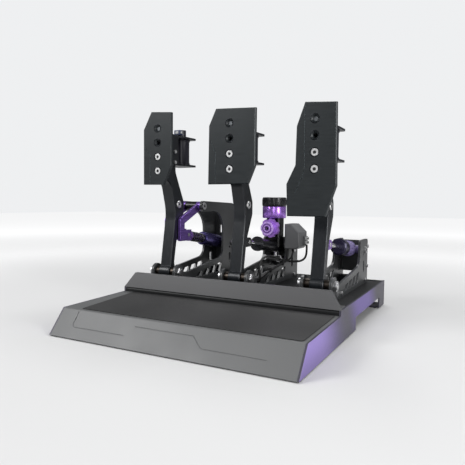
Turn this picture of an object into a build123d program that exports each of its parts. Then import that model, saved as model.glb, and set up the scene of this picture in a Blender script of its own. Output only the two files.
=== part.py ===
from build123d import *

import os
from math import atan2, cos, degrees, hypot, pi, radians, sin, sqrt, tan

# Sim racing pedal set: clutch, brake and throttle on a base of folded sheet.
# X runs to the right, Y to the back and Z up, in millimetres. The origin is on the
# floor under the middle of the base, and the driver's heels rest on the low Y side.

os.makedirs("parts", exist_ok=True)

# Layout of the base
module_pitch = 128.0
side_margin = 24.0
heel_depth = 150.4
pivot_setback = 50.6
frame_reach = 199.0
rear_margin = 30.0
deck_height = 43.3
foot_height = 1.5

# Sheets, folds and general clearances
panel_sheet = 2.5
deck_sheet = 3.0
heel_sheet = 2.0
fascia_sheet = 2.0
bend_inside = 1.0
fit = 0.1
pin_fit = 0.05
overrun = 1.0

# Heel plate with its sloped front, engraved lines and grip panel
slope_run = 25.4
slope_drop = 9.5
heel_rear_drop = 6.9
heel_lap = 15.0
flange_drop = 12.0
groove_width = 1.0
groove_depth = 0.5
left_groove_shares = [(-0.411, 0.93), (-0.409, 0.47), (-0.397, 0.385), (-0.161, 0.39)]
right_groove_shares = [(-0.128, 0.72), (0.116, 0.72), (0.157, 0.395), (0.388, 0.39)]
mat_thickness = 1.2
mat_margin = 4.0
mat_left_shares = [-0.409, -0.438]

# Pedal deck, its slots and the rail under its front
arch_height = 19.6
slot_length = 16.0
slot_width = 7.0
slot_inset_x = 18.5
slot_inset_y = 15.0
rail_flange = 20.0

# Side panels
arch_front_depth = 226.9
rear_foot_depth = 39.8
floor_flange = 22.0
rear_flange = 30.0
flange_inset = 10.0
floor_hole_radius = 3.3
floor_hole_inset_x = 12.5
floor_hole_inset_y = 25.0
floor_hole_span = 170.0
rubber_radius = 7.0
rubber_offset = 22.0
rear_rubber_inset = 29.0

# Leaning fascia on the front of the deck
fascia_height = 22.8
fascia_lean = 6.7
fascia_depth = 6.0
fascia_mitre = 16.3
fascia_foot = 24.6
fascia_screw_inset = 19.1
fascia_screw_span = 256.0
fascia_screw_radius = 2.0

# Skeleton side plates of the three modules
plate_gap = 38.0
frame_sheet = 4.0
pivot_rise = 21.7
nose_radius = 12.5
chord_start = 22.0
chord_low = 19.4
chord_high = 34.5
chord_depth = 9.0
chord_fillet = 18.0
sill_height = 6.7
upright_depth = 52.0
upright_height = 74.7
upright_corner = 6.0
window_start = 50.0
window_rib = 5.0
window_lean = 8.0
window_corner = 1.5
window_count = 4
upright_slot_length = 20.0
upright_slot_width = 8.0
upright_slot_inset = 27.0
upright_slot_rise = 30.0
upright_hole_radius = 2.5
upright_hole_rise = 50.0

# Hook of the clutch side plates that carries the rocker
hanger_reach = 76.0
hanger_rise = 128.3
hanger_boss = 9.0
hook_top_rise = 134.0
hook_throat_share = 0.49
hook_corner = 11.0

# Cross members of the modules
block_depth = 16.0
block_height = 12.0
front_block_setback = 36.0
rear_block_inset = 17.0
rear_plate_sheet = 5.0
rear_plate_low = 18.0
rear_plate_margin = 3.0
rear_window_width = 24.0
rear_window_height = 15.0
rear_window_rise = 83.0
stop_setback = 17.0
stop_drop = 14.0
stop_radius = 4.0
sleeve_wall = 1.0
stop_gap = 0.3

# Bolts, pins and screws
pivot_radius = 5.0
pivot_head_radius = 8.0
pivot_head = 5.0
pin_radius = 4.0
pin_head_radius = 6.0
pin_head = 2.0
frame_screw_radius = 1.5
frame_screw_head_radius = 2.75
frame_screw_head = 2.0
frame_screw_length = 10.0
screw_margin = 10.0
deck_bolt_radius = 3.0
deck_bolt_head_radius = 5.0
deck_bolt_head = 4.0
deck_bolt_grip = 9.0
hole_play = 0.2

# Arms
arm_width = 20.0
arm_height = 225.0
arm_edge = 1.0
arm_boss = 11.0
bush_radius = 7.0
collar_radius = 8.0
heel_front = 7.0
heel_drop = 15.0
plate_lead = 26.0
head_depth = 31.0
arm_front_shares = [(-0.031, 0), (0.042, 0.431), (-0.011, 0.622)]
arm_rear_shares = [(0.149, 0.51), (0.149, 0.422), (0.062, 0.249), (0.027, 0.067)]
neck_share = 0.682
nape_share = 0.72
crown_share = 0.987
arm_bend_shares = [0.05, 0.27, 0.07, 0.035, 0.02, 0.02, 0.09, 0.06, 0.06, 0.2, 0.03]
knee_bolt_shares = (0.0822, 0.487)
knee_bolt_radius = 6.0
knee_bolt_head = 1.5

# Foot plates
foot_sheet = 5.0
foot_edge = 1.2
foot_hole_pitch = 22.0
foot_hole_count = 4
foot_hole_radius = 3.3
foot_sink_radius = 5.5
foot_screw_radius = 2.9
foot_screw_recess = 0.4
foot_screw_length = 14.0
foot_socket = 2.3
foot_socket_depth = 1.6
foot_tap_depth = 16.0

clutch_foot_size = (53.8, 114.1)
clutch_foot_offset = (-0.9, -27.8)
clutch_hole_drop = 63.0
clutch_foot_shares = [
    (-0.21, 0.5), (-0.493, 0.263), (-0.5, -0.496), (0.216, -0.5), (0.498, -0.248), (0.5, 0.473),
]
clutch_crease_shares = [(-0.47, 0.05), (-0.25, -0.09), (-0.25, -0.48)]

brake_foot_size = (77.3, 109.8)
brake_foot_offset = (2.7, -30.3)
brake_hole_drop = 63.5
brake_foot_shares = [
    (-0.482, 0.281), (-0.332, 0.5), (0.5, 0.471), (0.495, -0.273), (0.358, -0.5), (-0.5, -0.5),
]
brake_crease_shares = [(-0.47, 0.13), (-0.33, -0.085), (-0.33, -0.48)]

throttle_foot_size = (69.8, 152.3)
throttle_foot_offset = (-4.6, -53.8)
throttle_hole_drop = 66.5
throttle_foot_shares = [
    (-0.138, 0.5), (-0.301, 0.295), (-0.319, -0.046), (-0.5, -0.212),
    (-0.48, -0.5), (0.295, -0.5), (0.5, -0.232), (0.48, 0.478),
]
throttle_crease_shares = [(-0.127, 0.47), (-0.127, -0.1), (-0.31, -0.29)]

# Cage and vibration motor behind each foot plate
cage_sheet = 3.0
cage_reach = 50.0
cage_width = 36.0
cage_flare = 14.0
cage_corner = 4.0
cage_drop = 52.5
cage_height = 48.0
cage_tab = 14.0
cage_screw_low = 4.5
cage_screw_pitch = 17.0
motor_radius = 13.5
motor_inset = 18.0
motor_rim = 1.0
motor_rim_length = 3.0
connector_radius = 7.0
connector_height = 13.0

# Linkage places, from each arm pivot or from the rear edge of the side plates
rear_pin_inset = 17.0
clutch_rear_rise = 57.7
brake_rear_rise = 52.7
throttle_rear_rise = 56.7
clevis_reach = 26.0
brake_clevis_rise = 52.5
throttle_clevis_rise = 54.5
link_pin_radius = 3.0
open_pivot_play = 0.7
clevis_width = 18.0
clevis_gap = 11.0
clevis_ear = 7.0
clevis_depth = 15.0
eye_radius = 6.5
rod_radius = 4.0
running_fit = 0.1
barrel_radius = 8.0
barrel_play = 0.3

# Clutch rocker with its roller
rocker_pin_reach = 40.0
rocker_pin_rise = 58.5
rocker_sheet = 3.0
rocker_cheek = 5.0
rocker_play = 1.0
rocker_hub = 8.0
rocker_front_reach = 15.0
rocker_bottom_rise = 49.0
rocker_elbow_rise = 82.5
rocker_link_width = 12.5
rocker_leg_depth = 12.0
rocker_toe_depth = 32.5
rocker_toe_height = 18.0
web_play = 0.3
web_height = 20.0
roller_reach = 22.5
roller_rise = 57.0
roller_radius = 6.0
roller_pin_radius = 2.5
ear_radius = 4.5
ear_sheet = 3.0
roller_play = 0.2

# Clutch rod, coil spring and damper, along the line from rod eye to rear pin
collar_start = 20.0
collar_length = 5.0
collar_flange_radius = 9.2
clutch_rod_length = 92.0
spring_mean_radius = 7.6
spring_wire = 2.4
spring_turns = 6.5
spring_play = 0.2
spring_sides = 8
spring_arcs_per_turn = 4
spring_samples_per_turn = 32
clutch_damper_radius = 12.0
clutch_damper_front = 66.5
clutch_damper_shoulder = 125.0
clutch_damper_neck = 132.0
clutch_damper_neck_radius = 8.0
damper_edge = 2.0
bore_depth = 50.0

# Throttle damper
throttle_damper_radius = 12.5
throttle_damper_front = 71.6
throttle_damper_rear = 139.0
throttle_ring = 6.0
throttle_ring_step = 0.6
throttle_band = 3.0
throttle_band_inset = 8.0
throttle_neck_radius = 7.0
throttle_rod_length = 96.0

# Brake cylinder, reservoir, knob and sensor
cylinder_radius = 10.0
cylinder_front = 45.4
cylinder_rear = 145.0
cylinder_collar = 2.0
cylinder_collar_length = 5.0
brake_rod_length = 76.0
saddle_reach = 135.0
saddle_depth = 24.0
saddle_width = 24.0
saddle_low_rise = 36.0
reservoir_reach = 142.0
reservoir_radius = 18.0
reservoir_wall = 2.5
reservoir_low_rise = 86.5
reservoir_high_rise = 107.0
cap_height = 15.6
cap_plug = 3.0
cap_edge = 1.5
knob_rise = 69.6
knob_radius = 16.4
knob_face_radius = 11.5
knob_face_depth = 11.0
knob_length = 25.0
knob_play = 0.5
knob_lobes = 7
knob_scallop = 4.2
knob_waist_radius = 12.5
knob_lobe_length = 9.0
knob_ring_radii = (4.5, 6.0, 8.5)
knob_ring_depth = 0.8
knob_dimple_radius = 2.2
knob_dimple_depth = 3.0
knob_stud_radius = 4.0
knob_stud_length = 15.0
sensor_drop = 20.5
sensor_radius = 4.5
sensor_hex_radius = 6.5
sensor_front = 79.0
sensor_rear = 155.0
sensor_neck_place = 128.0
sensor_neck_radius = 3.5
sensor_hex_length = 12.0

# Grey control box on the right side plate of the brake
box_width = 26.6
box_reach = 133.0
box_depth = 41.0
box_low_rise = 55.7
box_height = 43.0
box_cut_width = 15.0
box_cut_height = 14.0
box_low_cut = 5.0
box_edge = 1.5
box_socket_size = (16.0, 14.0)
box_socket_depth = 3.0
box_socket_inset = 12.0

# Captive cables, as points chosen by hand along each run
cable_radius = 1.8
cable_bend_share = 0.49
sensor_cable_points = [
    (23.1, 14.0, 56.0), (31.0, 14.0, 56.0), (31.0, 22.0, 92.0), (31.0, 66.0, 88.0),
    (35.0, 132.0, 72.0), (35.0, 132.0, 98.9),
]
box_cable_points = [(43.0, 152.0, 98.9), (43.0, 152.0, 76.0), (36.0, 141.0, 76.0), (23.1, 141.0, 76.0)]
motor_cable_points = [(29.0, 124.0, 98.9), (29.0, 124.0, 78.0), (31.0, 50.0, 64.0), (23.1, 50.0, 64.0)]

# Places that follow from the sizes above
module_half = plate_gap / 2 + frame_sheet
overall_width = 2 * (module_pitch + module_half + side_margin)
overall_depth = heel_depth + pivot_setback + frame_reach + rear_margin
half_width = overall_width / 2
inner_half = half_width - panel_sheet - fit
front_y = -overall_depth / 2
rear_y = overall_depth / 2
deck_front = front_y + heel_depth
slope_y = front_y + slope_run
heel_end_y = deck_front + heel_lap
rail_y = heel_end_y + fit
pivot_y = deck_front + pivot_setback
pivot_z = deck_height + pivot_rise
frame_rear = pivot_y + frame_reach
upright_y = frame_rear - upright_depth
neck_y = pivot_y - plate_lead + foot_sheet
rear_pin_y = frame_rear - rear_pin_inset
deck_under = deck_height - deck_sheet
slope_top = deck_height - slope_drop
heel_rear_height = deck_height - heel_rear_drop
module_places = {"clutch": -module_pitch, "brake": 0, "throttle": module_pitch}
rear_rises = {"clutch": clutch_rear_rise, "brake": brake_rear_rise, "throttle": throttle_rear_rise}
block_places = [pivot_y + front_block_setback, frame_rear - rear_block_inset]
hanger_y = pivot_y + hanger_reach
hanger_z = deck_height + hanger_rise
hook_throat = hook_throat_share * (upright_y - hanger_y)


def save(piece, name):
    """Label a finished piece and write it under the name of its node."""
    piece.part.label = name
    export_step(piece.part, f"parts/{name}.step")


def heel_top(y):
    """Height of the heel plate's upper face, which rises gently to the back."""
    rise = (heel_rear_height - slope_top) / (deck_front - slope_y)
    return slope_top + (y - slope_y) * rise


def chord_top(y):
    """Height of the sloping upper edge of a side plate."""
    run = (y - pivot_y - chord_start) / (upright_y - pivot_y - chord_start)
    return deck_height + chord_low + run * (chord_high - chord_low)


def folded_strip(points, sheet, radii, reach):
    """Extrude a folded sheet both ways, from the outer line of its section."""
    with BuildSketch(Plane.YZ) as section:
        with BuildLine():
            FilletPolyline(*points, radius=radii)
            offset(amount=sheet, side=Side.RIGHT)
        make_face()
    extrude(section.sketch, amount=reach, both=True)


def side_band(start, end, drop, sheet):
    """Turn down a flange along both sides of the heel plate or the deck."""
    with BuildSketch(Plane.YZ.offset(-inner_half), Plane.YZ.offset(inner_half - sheet)) as bands:
        with BuildLine():
            Polyline(start, end, (end[0], end[1] - drop), (start[0], start[1] - drop), close=True)
        make_face()
    extrude(bands.sketch, amount=sheet)


def turned(origin, direction, steps, mode=Mode.ADD):
    """Revolve a stepped shaft from its (distance along the axis, radius) steps."""
    across = (0, 0, 1) if direction[0] else (1, 0, 0)
    with BuildSketch(Plane(origin=origin, x_dir=direction, z_dir=across)) as half_section:
        with BuildLine():
            Polyline((steps[0][0], 0), *steps, (steps[-1][0], 0), close=True)
        make_face()
    revolve(half_section.sketch, axis=Axis(origin, direction), mode=mode)


def cross_bar(x, y, z, reach, radius, mode=Mode.ADD):
    """A round bar along X through (y, z), as long as reach on both sides of x."""
    with BuildSketch(Plane.YZ.offset(x)) as section:
        with Locations((y, z)):
            Circle(radius)
    extrude(section.sketch, amount=reach, both=True, mode=mode)


# Heel plate
heel_line = [
    (front_y, foot_height),
    (slope_y, slope_top),
    (heel_end_y, heel_top(heel_end_y)),
    (heel_end_y, heel_top(heel_end_y) - flange_drop),
]
slope_length = sqrt(slope_run ** 2 + (slope_top - foot_height) ** 2)
slope_plane = Plane(
    origin=(0, front_y, foot_height),
    x_dir=(1, 0, 0),
    z_dir=(0, foot_height - slope_top, slope_run),
)
heel_plane = Plane(
    origin=(0, slope_y, slope_top),
    x_dir=(1, 0, 0),
    z_dir=(0, slope_top - heel_rear_height, deck_front - slope_y),
)


def slope_points(shares):
    """Points of an engraved line, as shares of the base's width and the slope's length."""
    return [(across * overall_width, up * slope_length) for across, up in shares]


with BuildPart() as heel_plate:
    folded_strip(heel_line, heel_sheet, heel_sheet + bend_inside, inner_half)
    band_start = slope_y + flange_drop
    band_end = heel_end_y - heel_sheet
    side_band(
        (band_start, heel_top(band_start) - heel_sheet / 2),
        (band_end, heel_top(band_end) - heel_sheet / 2),
        flange_drop,
        heel_sheet,
    )
    split(bisect_by=Plane.XY.offset(foot_height), keep=Keep.TOP)
    with BuildSketch(slope_plane):
        for shares in (left_groove_shares, right_groove_shares):
            with BuildLine():
                Polyline(*slope_points(shares))
            trace(line_width=groove_width)
    extrude(amount=-groove_depth, mode=Mode.SUBTRACT)
save(heel_plate, "heel_plate")

# Grip panel on the heel plate, with the slanted left edge
mat_length = sqrt((deck_front - slope_y) ** 2 + (heel_rear_height - slope_top) ** 2)
with BuildPart() as heel_mat:
    with BuildSketch(heel_plane):
        with BuildLine():
            Polyline(
                (mat_left_shares[0] * overall_width, mat_margin),
                (inner_half - mat_margin, mat_margin),
                (inner_half - mat_margin, mat_length - mat_margin),
                (mat_left_shares[1] * overall_width, mat_length - mat_margin),
                close=True,
            )
        make_face()
        fillet(vertices().group_by(Axis.X)[-1], radius=mat_margin)
    extrude(amount=mat_thickness)
save(heel_mat, "heel_mat")

# Raised pedal deck with slots at its rear corners
deck_line = [
    (deck_front, heel_rear_height + fit),
    (deck_front, deck_height),
    (rear_y, deck_height),
    (rear_y, arch_height),
]
slot_places = [(side * (half_width - slot_inset_x), rear_y - slot_inset_y) for side in (-1, 1)]
bolt_places = [(x, y) for x in module_places.values() for y in block_places]
fascia_screw_y = deck_front + fascia_screw_inset
fascia_screw_places = [
    (share * fascia_screw_span, fascia_screw_y) for share in (-1 / 2, -1 / 6, 1 / 6, 1 / 2)
]
with BuildPart() as pedal_deck:
    folded_strip(deck_line, deck_sheet, deck_sheet + bend_inside, inner_half)
    side_band(
        (heel_end_y, deck_height - deck_sheet / 2),
        (rear_y - deck_sheet, deck_height - deck_sheet / 2),
        flange_drop,
        deck_sheet,
    )
    with BuildSketch(Plane.XY.offset(deck_height)):
        with Locations(*slot_places):
            SlotOverall(slot_length, slot_width)
        with Locations(*bolt_places):
            Circle(deck_bolt_radius + hole_play)
        with Locations(*fascia_screw_places):
            Circle(fascia_screw_radius + fit)
    extrude(amount=-deck_sheet - overrun, mode=Mode.SUBTRACT)
save(pedal_deck, "pedal_deck")

# Leaning fascia: a mitred shell, open behind and below, on a foot along the deck
with BuildPart() as fascia:
    with BuildSketch(Plane.XY.offset(deck_height)):
        with Locations((0, deck_front + fascia_depth / 2)):
            Rectangle(overall_width, fascia_depth)
    with BuildSketch(Plane.XY.offset(deck_height + fascia_height)):
        with Locations((0, deck_front + fascia_lean + fascia_depth / 2)):
            Rectangle(overall_width - 2 * fascia_mitre, fascia_depth)
    loft()
    open_faces = [faces().sort_by(Axis.Y)[-1], faces().sort_by(Axis.Z)[0]]
    offset(amount=-fascia_sheet, openings=open_faces)
    with BuildSketch(Plane.XY.offset(deck_height)):
        with Locations((0, deck_front + (fascia_sheet + fascia_foot) / 2)):
            Rectangle(overall_width - 2 * fascia_sheet, fascia_foot - fascia_sheet)
    extrude(amount=fascia_sheet)
    with BuildSketch(Plane.XY.offset(deck_height)):
        with Locations(*fascia_screw_places):
            Circle(fascia_screw_radius + fit)
    extrude(amount=fascia_sheet, mode=Mode.SUBTRACT)
save(fascia, "fascia")

# Z-section rail that carries the deck's front edge down to the side panels
rail_low = foot_height + 2 * panel_sheet
rail_line = [
    (rail_y - rail_flange, rail_low),
    (rail_y, rail_low),
    (rail_y, deck_under),
    (rail_y + rail_flange, deck_under),
]
with BuildPart() as mid_rail:
    rail_bends = [bend_inside, panel_sheet + bend_inside]
    folded_strip(rail_line, panel_sheet, rail_bends, inner_half - deck_sheet - fit)
    with BuildSketch(Plane.XY.offset(deck_under)):
        with Locations(*fascia_screw_places):
            Circle(fascia_screw_radius + fit)
    extrude(amount=-panel_sheet - overrun, mode=Mode.SUBTRACT)
save(mid_rail, "mid_rail")

# Side panels with their arch, the flanges along the floor and the holes in these
arch_front_y = front_y + arch_front_depth
arch_rear_y = rear_y - rear_foot_depth
panel_outline = [
    (front_y, foot_height),
    (slope_y, slope_top),
    (deck_front, heel_rear_height),
    (deck_front, deck_height),
    (rear_y, deck_height),
    (rear_y, foot_height),
    (arch_rear_y, foot_height),
    (arch_rear_y, arch_height),
    (arch_front_y, arch_height),
    (arch_front_y, foot_height),
]
floor_hole_y = front_y + floor_hole_inset_y
floor_hole_places = [floor_hole_y, floor_hole_y + floor_hole_span]
front_flange_span = (front_y + flange_inset, arch_front_y - flange_inset)
rear_flange_span = (arch_rear_y + panel_sheet, rear_y - deck_sheet)


def floor_strip(side, span, width):
    """A flange along the floor, turned in from the side panel on that side."""
    with BuildSketch(Plane.XY.offset(foot_height)) as strip:
        with Locations((side * (half_width - width / 2), (span[0] + span[1]) / 2)):
            Rectangle(width, span[1] - span[0])
    extrude(strip.sketch, amount=panel_sheet)


for side, side_name in ((-1, "left"), (1, "right")):
    with BuildPart() as side_panel:
        with BuildSketch(Plane.YZ.offset(side * (half_width - panel_sheet / 2))):
            with BuildLine():
                Polyline(*panel_outline, close=True)
            make_face()
        extrude(amount=panel_sheet / 2, both=True)
        floor_strip(side, front_flange_span, floor_flange)
        floor_strip(side, rear_flange_span, rear_flange)
        with BuildSketch(Plane.XY.offset(foot_height)):
            for y in floor_hole_places:
                with Locations((side * (half_width - floor_hole_inset_x), y)):
                    Circle(floor_hole_radius)
            with Locations((side * (half_width - slot_inset_x), rear_y - slot_inset_y)):
                SlotOverall(slot_length, slot_width)
        extrude(amount=panel_sheet, mode=Mode.SUBTRACT)
    save(side_panel, f"side_panel_{side_name}")

rubber_places = [
    (side * (half_width - floor_hole_inset_x), y)
    for side in (-1, 1)
    for y in (
        floor_hole_places[0] + rubber_offset,
        floor_hole_places[1] - rubber_offset,
        rear_y - rear_rubber_inset,
    )
]
with BuildPart() as rubber_feet:
    with BuildSketch():
        with Locations(*rubber_places):
            Circle(rubber_radius)
    extrude(amount=foot_height)
save(rubber_feet, "rubber_feet")

# Screws of the base: button heads on the fascia's foot, module bolts from below
fascia_stack = fascia_sheet + deck_sheet + panel_sheet
with BuildPart() as base_screws:
    for x, y in fascia_screw_places:
        turned(
            (x, y, deck_height + fascia_sheet + fascia_screw_radius),
            (0, 0, -1),
            [
                (0, fascia_screw_radius),
                (fascia_screw_radius, 2 * fascia_screw_radius),
                (fascia_screw_radius, fascia_screw_radius),
                (fascia_screw_radius + fascia_stack, fascia_screw_radius),
            ],
        )
    for x, y in bolt_places:
        turned(
            (x, y, deck_under - deck_bolt_head),
            (0, 0, 1),
            [
                (0, deck_bolt_head_radius),
                (deck_bolt_head, deck_bolt_head_radius),
                (deck_bolt_head, deck_bolt_radius),
                (deck_bolt_head + deck_sheet + deck_bolt_grip, deck_bolt_radius),
            ],
        )
save(base_screws, "base_screws")

# Side plates of the modules, as skeletons of a sloping chord, ribs and an upright
stop_y = pivot_y + stop_setback
stop_z = pivot_z - stop_drop
hook_top = deck_height + hook_top_rise
upright_top = deck_height + upright_height
rear_plate_tops = {
    "clutch": hook_top - hook_corner - rear_plate_margin,
    "brake": upright_top - rear_plate_margin,
    "throttle": upright_top - rear_plate_margin,
}
window_pitch = (upright_y - window_lean - pivot_y - window_start) / window_count


def frame_screw_places(name):
    """Places of the small screws through a module's side plates, as (y, z)."""
    plate_y = frame_rear - rear_plate_sheet / 2
    low = deck_height + rear_plate_low + screw_margin
    high = rear_plate_tops[name] - screw_margin
    block_z = deck_height + block_height / 2
    return [(plate_y, low), (plate_y, high)] + [(y, block_z) for y in block_places]


def frame_outline(name):
    """Closed outline of a side plate, with the hanging hook on the clutch's."""
    lower = [
        (pivot_y - nose_radius, deck_height),
        (pivot_y - nose_radius, pivot_z),
        (pivot_y + nose_radius, pivot_z),
        (pivot_y + chord_start, chord_top(pivot_y + chord_start)),
        (upright_y, chord_top(upright_y)),
    ]
    if name == "clutch":
        upper = [
            (upright_y, hanger_z - hanger_boss),
            (hanger_y, hanger_z - hanger_boss),
            (hanger_y, hanger_z + hanger_boss),
            (frame_rear - rear_pin_inset, hook_top),
            (frame_rear, hook_top - hook_corner),
        ]
        bends = [0, 0, 0, 0, chord_fillet, hook_throat, 0, 0, hook_corner, hook_corner, 0]
    else:
        upper = [(upright_y, upright_top), (frame_rear, upright_top)]
        bends = [0, 0, 0, 0, chord_fillet, upright_corner, upright_corner, 0]
    with BuildLine() as outline:
        FilletPolyline(*lower, *upper, (frame_rear, deck_height), radius=bends, close=True)
    make_face(outline.edges())
    with Locations((pivot_y, pivot_z)):
        Circle(nose_radius)
    if name == "clutch":
        with Locations((hanger_y, hanger_z)):
            Circle(hanger_boss)


def frame_windows():
    """Slanted windows between the chord and the strip along the deck."""
    low = deck_height + sill_height
    for number in range(window_count):
        start = pivot_y + window_start + number * window_pitch
        end = start + window_pitch - window_rib
        with BuildLine() as window:
            FilletPolyline(
                (start, low),
                (end, low),
                (end + window_lean, chord_top(end + window_lean) - chord_depth),
                (start + window_lean, chord_top(start + window_lean) - chord_depth),
                radius=window_corner,
                close=True,
            )
        make_face(window.edges(), mode=Mode.SUBTRACT)


for name, x in module_places.items():
    for side, side_name in ((-1, "left"), (1, "right")):
        with BuildPart() as side_plate:
            with BuildSketch(Plane.YZ.offset(x + side * (plate_gap + frame_sheet) / 2)):
                frame_outline(name)
                frame_windows()
                with Locations((frame_rear - upright_slot_inset, deck_height + upright_slot_rise)):
                    SlotOverall(upright_slot_length, upright_slot_width, rotation=90, mode=Mode.SUBTRACT)
                with Locations((frame_rear - upright_slot_inset, deck_height + upright_hole_rise)):
                    Circle(upright_hole_radius, mode=Mode.SUBTRACT)
                with Locations((pivot_y, pivot_z)):
                    Circle(pivot_radius + fit, mode=Mode.SUBTRACT)
                with Locations((stop_y, stop_z)):
                    Circle(stop_radius + pin_fit, mode=Mode.SUBTRACT)
                with Locations((rear_pin_y, deck_height + rear_rises[name])):
                    Circle(pin_radius + pin_fit, mode=Mode.SUBTRACT)
                with Locations(*frame_screw_places(name)):
                    Circle(frame_screw_radius + fit, mode=Mode.SUBTRACT)
                if name == "clutch":
                    with Locations((hanger_y, hanger_z)):
                        Circle(pin_radius + pin_fit, mode=Mode.SUBTRACT)
            extrude(amount=frame_sheet / 2, both=True)
        save(side_plate, f"{name}_side_plate_{side_name}")

# Small screws through the side plates into the cross members
screw_places = [
    (x + side * module_half, side, y, z)
    for name, x in module_places.items()
    for side in (-1, 1)
    for y, z in frame_screw_places(name)
]


def tap_screw_holes():
    """Cut the threads of the side screws out of the cross members in hand."""
    for x, side, y, z in screw_places:
        with BuildSketch(Plane.YZ.offset(x)) as hole:
            with Locations((y, z)):
                Circle(frame_screw_radius + pin_fit)
        extrude(hole.sketch, amount=-side * (frame_screw_length + overrun), mode=Mode.SUBTRACT)


with BuildPart() as frame_screws:
    for x, side, y, z in screw_places:
        turned(
            (x + side * frame_screw_head, y, z),
            (-side, 0, 0),
            [
                (0, frame_screw_head_radius),
                (frame_screw_head, frame_screw_head_radius),
                (frame_screw_head, frame_screw_radius),
                (frame_screw_head + frame_screw_length, frame_screw_radius),
            ],
        )
save(frame_screws, "frame_screws")

# Rear cross plates between the side plates
for name, x in module_places.items():
    plate_low = deck_height + rear_plate_low
    plate_high = rear_plate_tops[name]
    with BuildPart() as rear_plate:
        with BuildSketch(Plane.XZ.offset(rear_plate_sheet - frame_rear)):
            with Locations((x, (plate_low + plate_high) / 2)):
                Rectangle(plate_gap, plate_high - plate_low)
            if name == "clutch":
                with Locations((x, deck_height + rear_window_rise)):
                    Rectangle(rear_window_width, rear_window_height, mode=Mode.SUBTRACT)
        extrude(amount=-rear_plate_sheet)
        tap_screw_holes()
    save(rear_plate, f"{name}_rear_plate")

# Blocks that stand on the deck between the side plates, bolted from below
with BuildPart() as floor_blocks:
    with BuildSketch(Plane.XY.offset(deck_height)):
        with Locations(*bolt_places):
            Rectangle(plate_gap, block_depth)
    extrude(amount=block_height)
    with BuildSketch(Plane.XY.offset(deck_height)):
        with Locations(*bolt_places):
            Circle(deck_bolt_radius + pin_fit)
    extrude(amount=deck_bolt_grip, mode=Mode.SUBTRACT)
    tap_screw_holes()
save(floor_blocks, "floor_blocks")

# Rest stops under the arms: steel bars with rubber sleeves
with BuildPart() as stop_bars:
    for x in module_places.values():
        cross_bar(x, stop_y, stop_z, module_half, stop_radius)
save(stop_bars, "stop_bars")

with BuildPart() as stop_sleeves:
    for x in module_places.values():
        cross_bar(x, stop_y, stop_z, plate_gap / 2 - fit, stop_radius + sleeve_wall)
    for x in module_places.values():
        cross_bar(x, stop_y, stop_z, plate_gap, stop_radius + pin_fit / 2, Mode.SUBTRACT)
save(stop_sleeves, "stop_sleeves")

# Bolts and pins across the modules: arm pivots with nuts, rear pins, rocker hanger
pivot_span = 2 * module_half + pivot_head
rear_pins = [(x, rear_pin_y, deck_height + rear_rises[name]) for name, x in module_places.items()]
with BuildPart() as cross_bolts:
    for x in module_places.values():
        turned(
            (x - module_half - pivot_head, pivot_y, pivot_z),
            (1, 0, 0),
            [
                (0, pivot_head_radius),
                (pivot_head, pivot_head_radius),
                (pivot_head, pivot_radius),
                (pivot_head + pivot_span, pivot_radius),
            ],
        )
    for x, y, z in rear_pins + [(module_places["clutch"], hanger_y, hanger_z)]:
        turned(
            (x - module_half - pin_head, y, z),
            (1, 0, 0),
            [
                (0, pin_head_radius),
                (pin_head, pin_head_radius),
                (pin_head, pin_radius),
                (pin_head + 2 * module_half, pin_radius),
                (pin_head + 2 * module_half, pin_head_radius),
                (2 * pin_head + 2 * module_half, pin_head_radius),
            ],
        )
save(cross_bolts, "cross_bolts")

with BuildPart() as pivot_nuts:
    for x in module_places.values():
        with BuildSketch(Plane.YZ.offset(x + module_half)):
            with Locations((pivot_y, pivot_z)):
                RegularPolygon(pivot_head_radius, 6)
                Circle(pivot_radius + pin_fit / 2, mode=Mode.SUBTRACT)
        extrude(amount=pivot_head - overrun)
save(pivot_nuts, "pivot_nuts")

# Arms, with a boss at the pivot, a knee, and a neck that comes forward to the foot plate
heel_rear_reach = stop_setback - stop_radius - sleeve_wall - stop_gap
hole_rises = {
    "clutch": arm_height - clutch_hole_drop,
    "brake": arm_height - brake_hole_drop,
    "throttle": arm_height - throttle_hole_drop,
}
knee_y = pivot_y + knee_bolt_shares[0] * arm_height
knee_z = pivot_z + knee_bolt_shares[1] * arm_height
cage_screw_y = neck_y + head_depth - cage_tab / 2
cage_low = arm_height - cage_drop
cage_screw_rises = [cage_low + cage_screw_low, cage_low + cage_screw_low + cage_screw_pitch]


def arm_point(along, up):
    """A point of the arm's outline, as shares of its height, from the pivot."""
    return (pivot_y + along * arm_height, pivot_z + up * arm_height)


def arm_outline():
    """Closed outline of an arm, from the front of its heel round to the rear."""
    nape_y = neck_y + head_depth
    return [
        (pivot_y - heel_front, pivot_z - heel_drop),
        *[arm_point(along, up) for along, up in arm_front_shares],
        (neck_y, pivot_z + neck_share * arm_height),
        (neck_y, pivot_z + arm_height),
        (nape_y, pivot_z + crown_share * arm_height),
        (nape_y, pivot_z + nape_share * arm_height),
        *[arm_point(along, up) for along, up in arm_rear_shares],
        (pivot_y + heel_rear_reach, pivot_z - heel_drop / 3),
        (pivot_y + heel_rear_reach, pivot_z - heel_drop),
    ]


def roller_ears(x):
    """Two ears behind the clutch arm that carry the roller's pin."""
    ear_y = pivot_y + roller_reach
    ear_z = pivot_z + roller_rise
    for side in (-1, 1):
        with BuildSketch(Plane.YZ.offset(x + side * (arm_width - ear_sheet) / 2)) as ear:
            with Locations((ear_y, ear_z)):
                Circle(ear_radius)
            with Locations((ear_y - roller_reach / 3, ear_z)):
                Rectangle(2 * roller_reach / 3, 2 * ear_radius)
        extrude(ear.sketch, amount=ear_sheet / 2, both=True)
    cross_bar(x, ear_y, ear_z, arm_width, roller_pin_radius + pin_fit, Mode.SUBTRACT)


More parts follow.
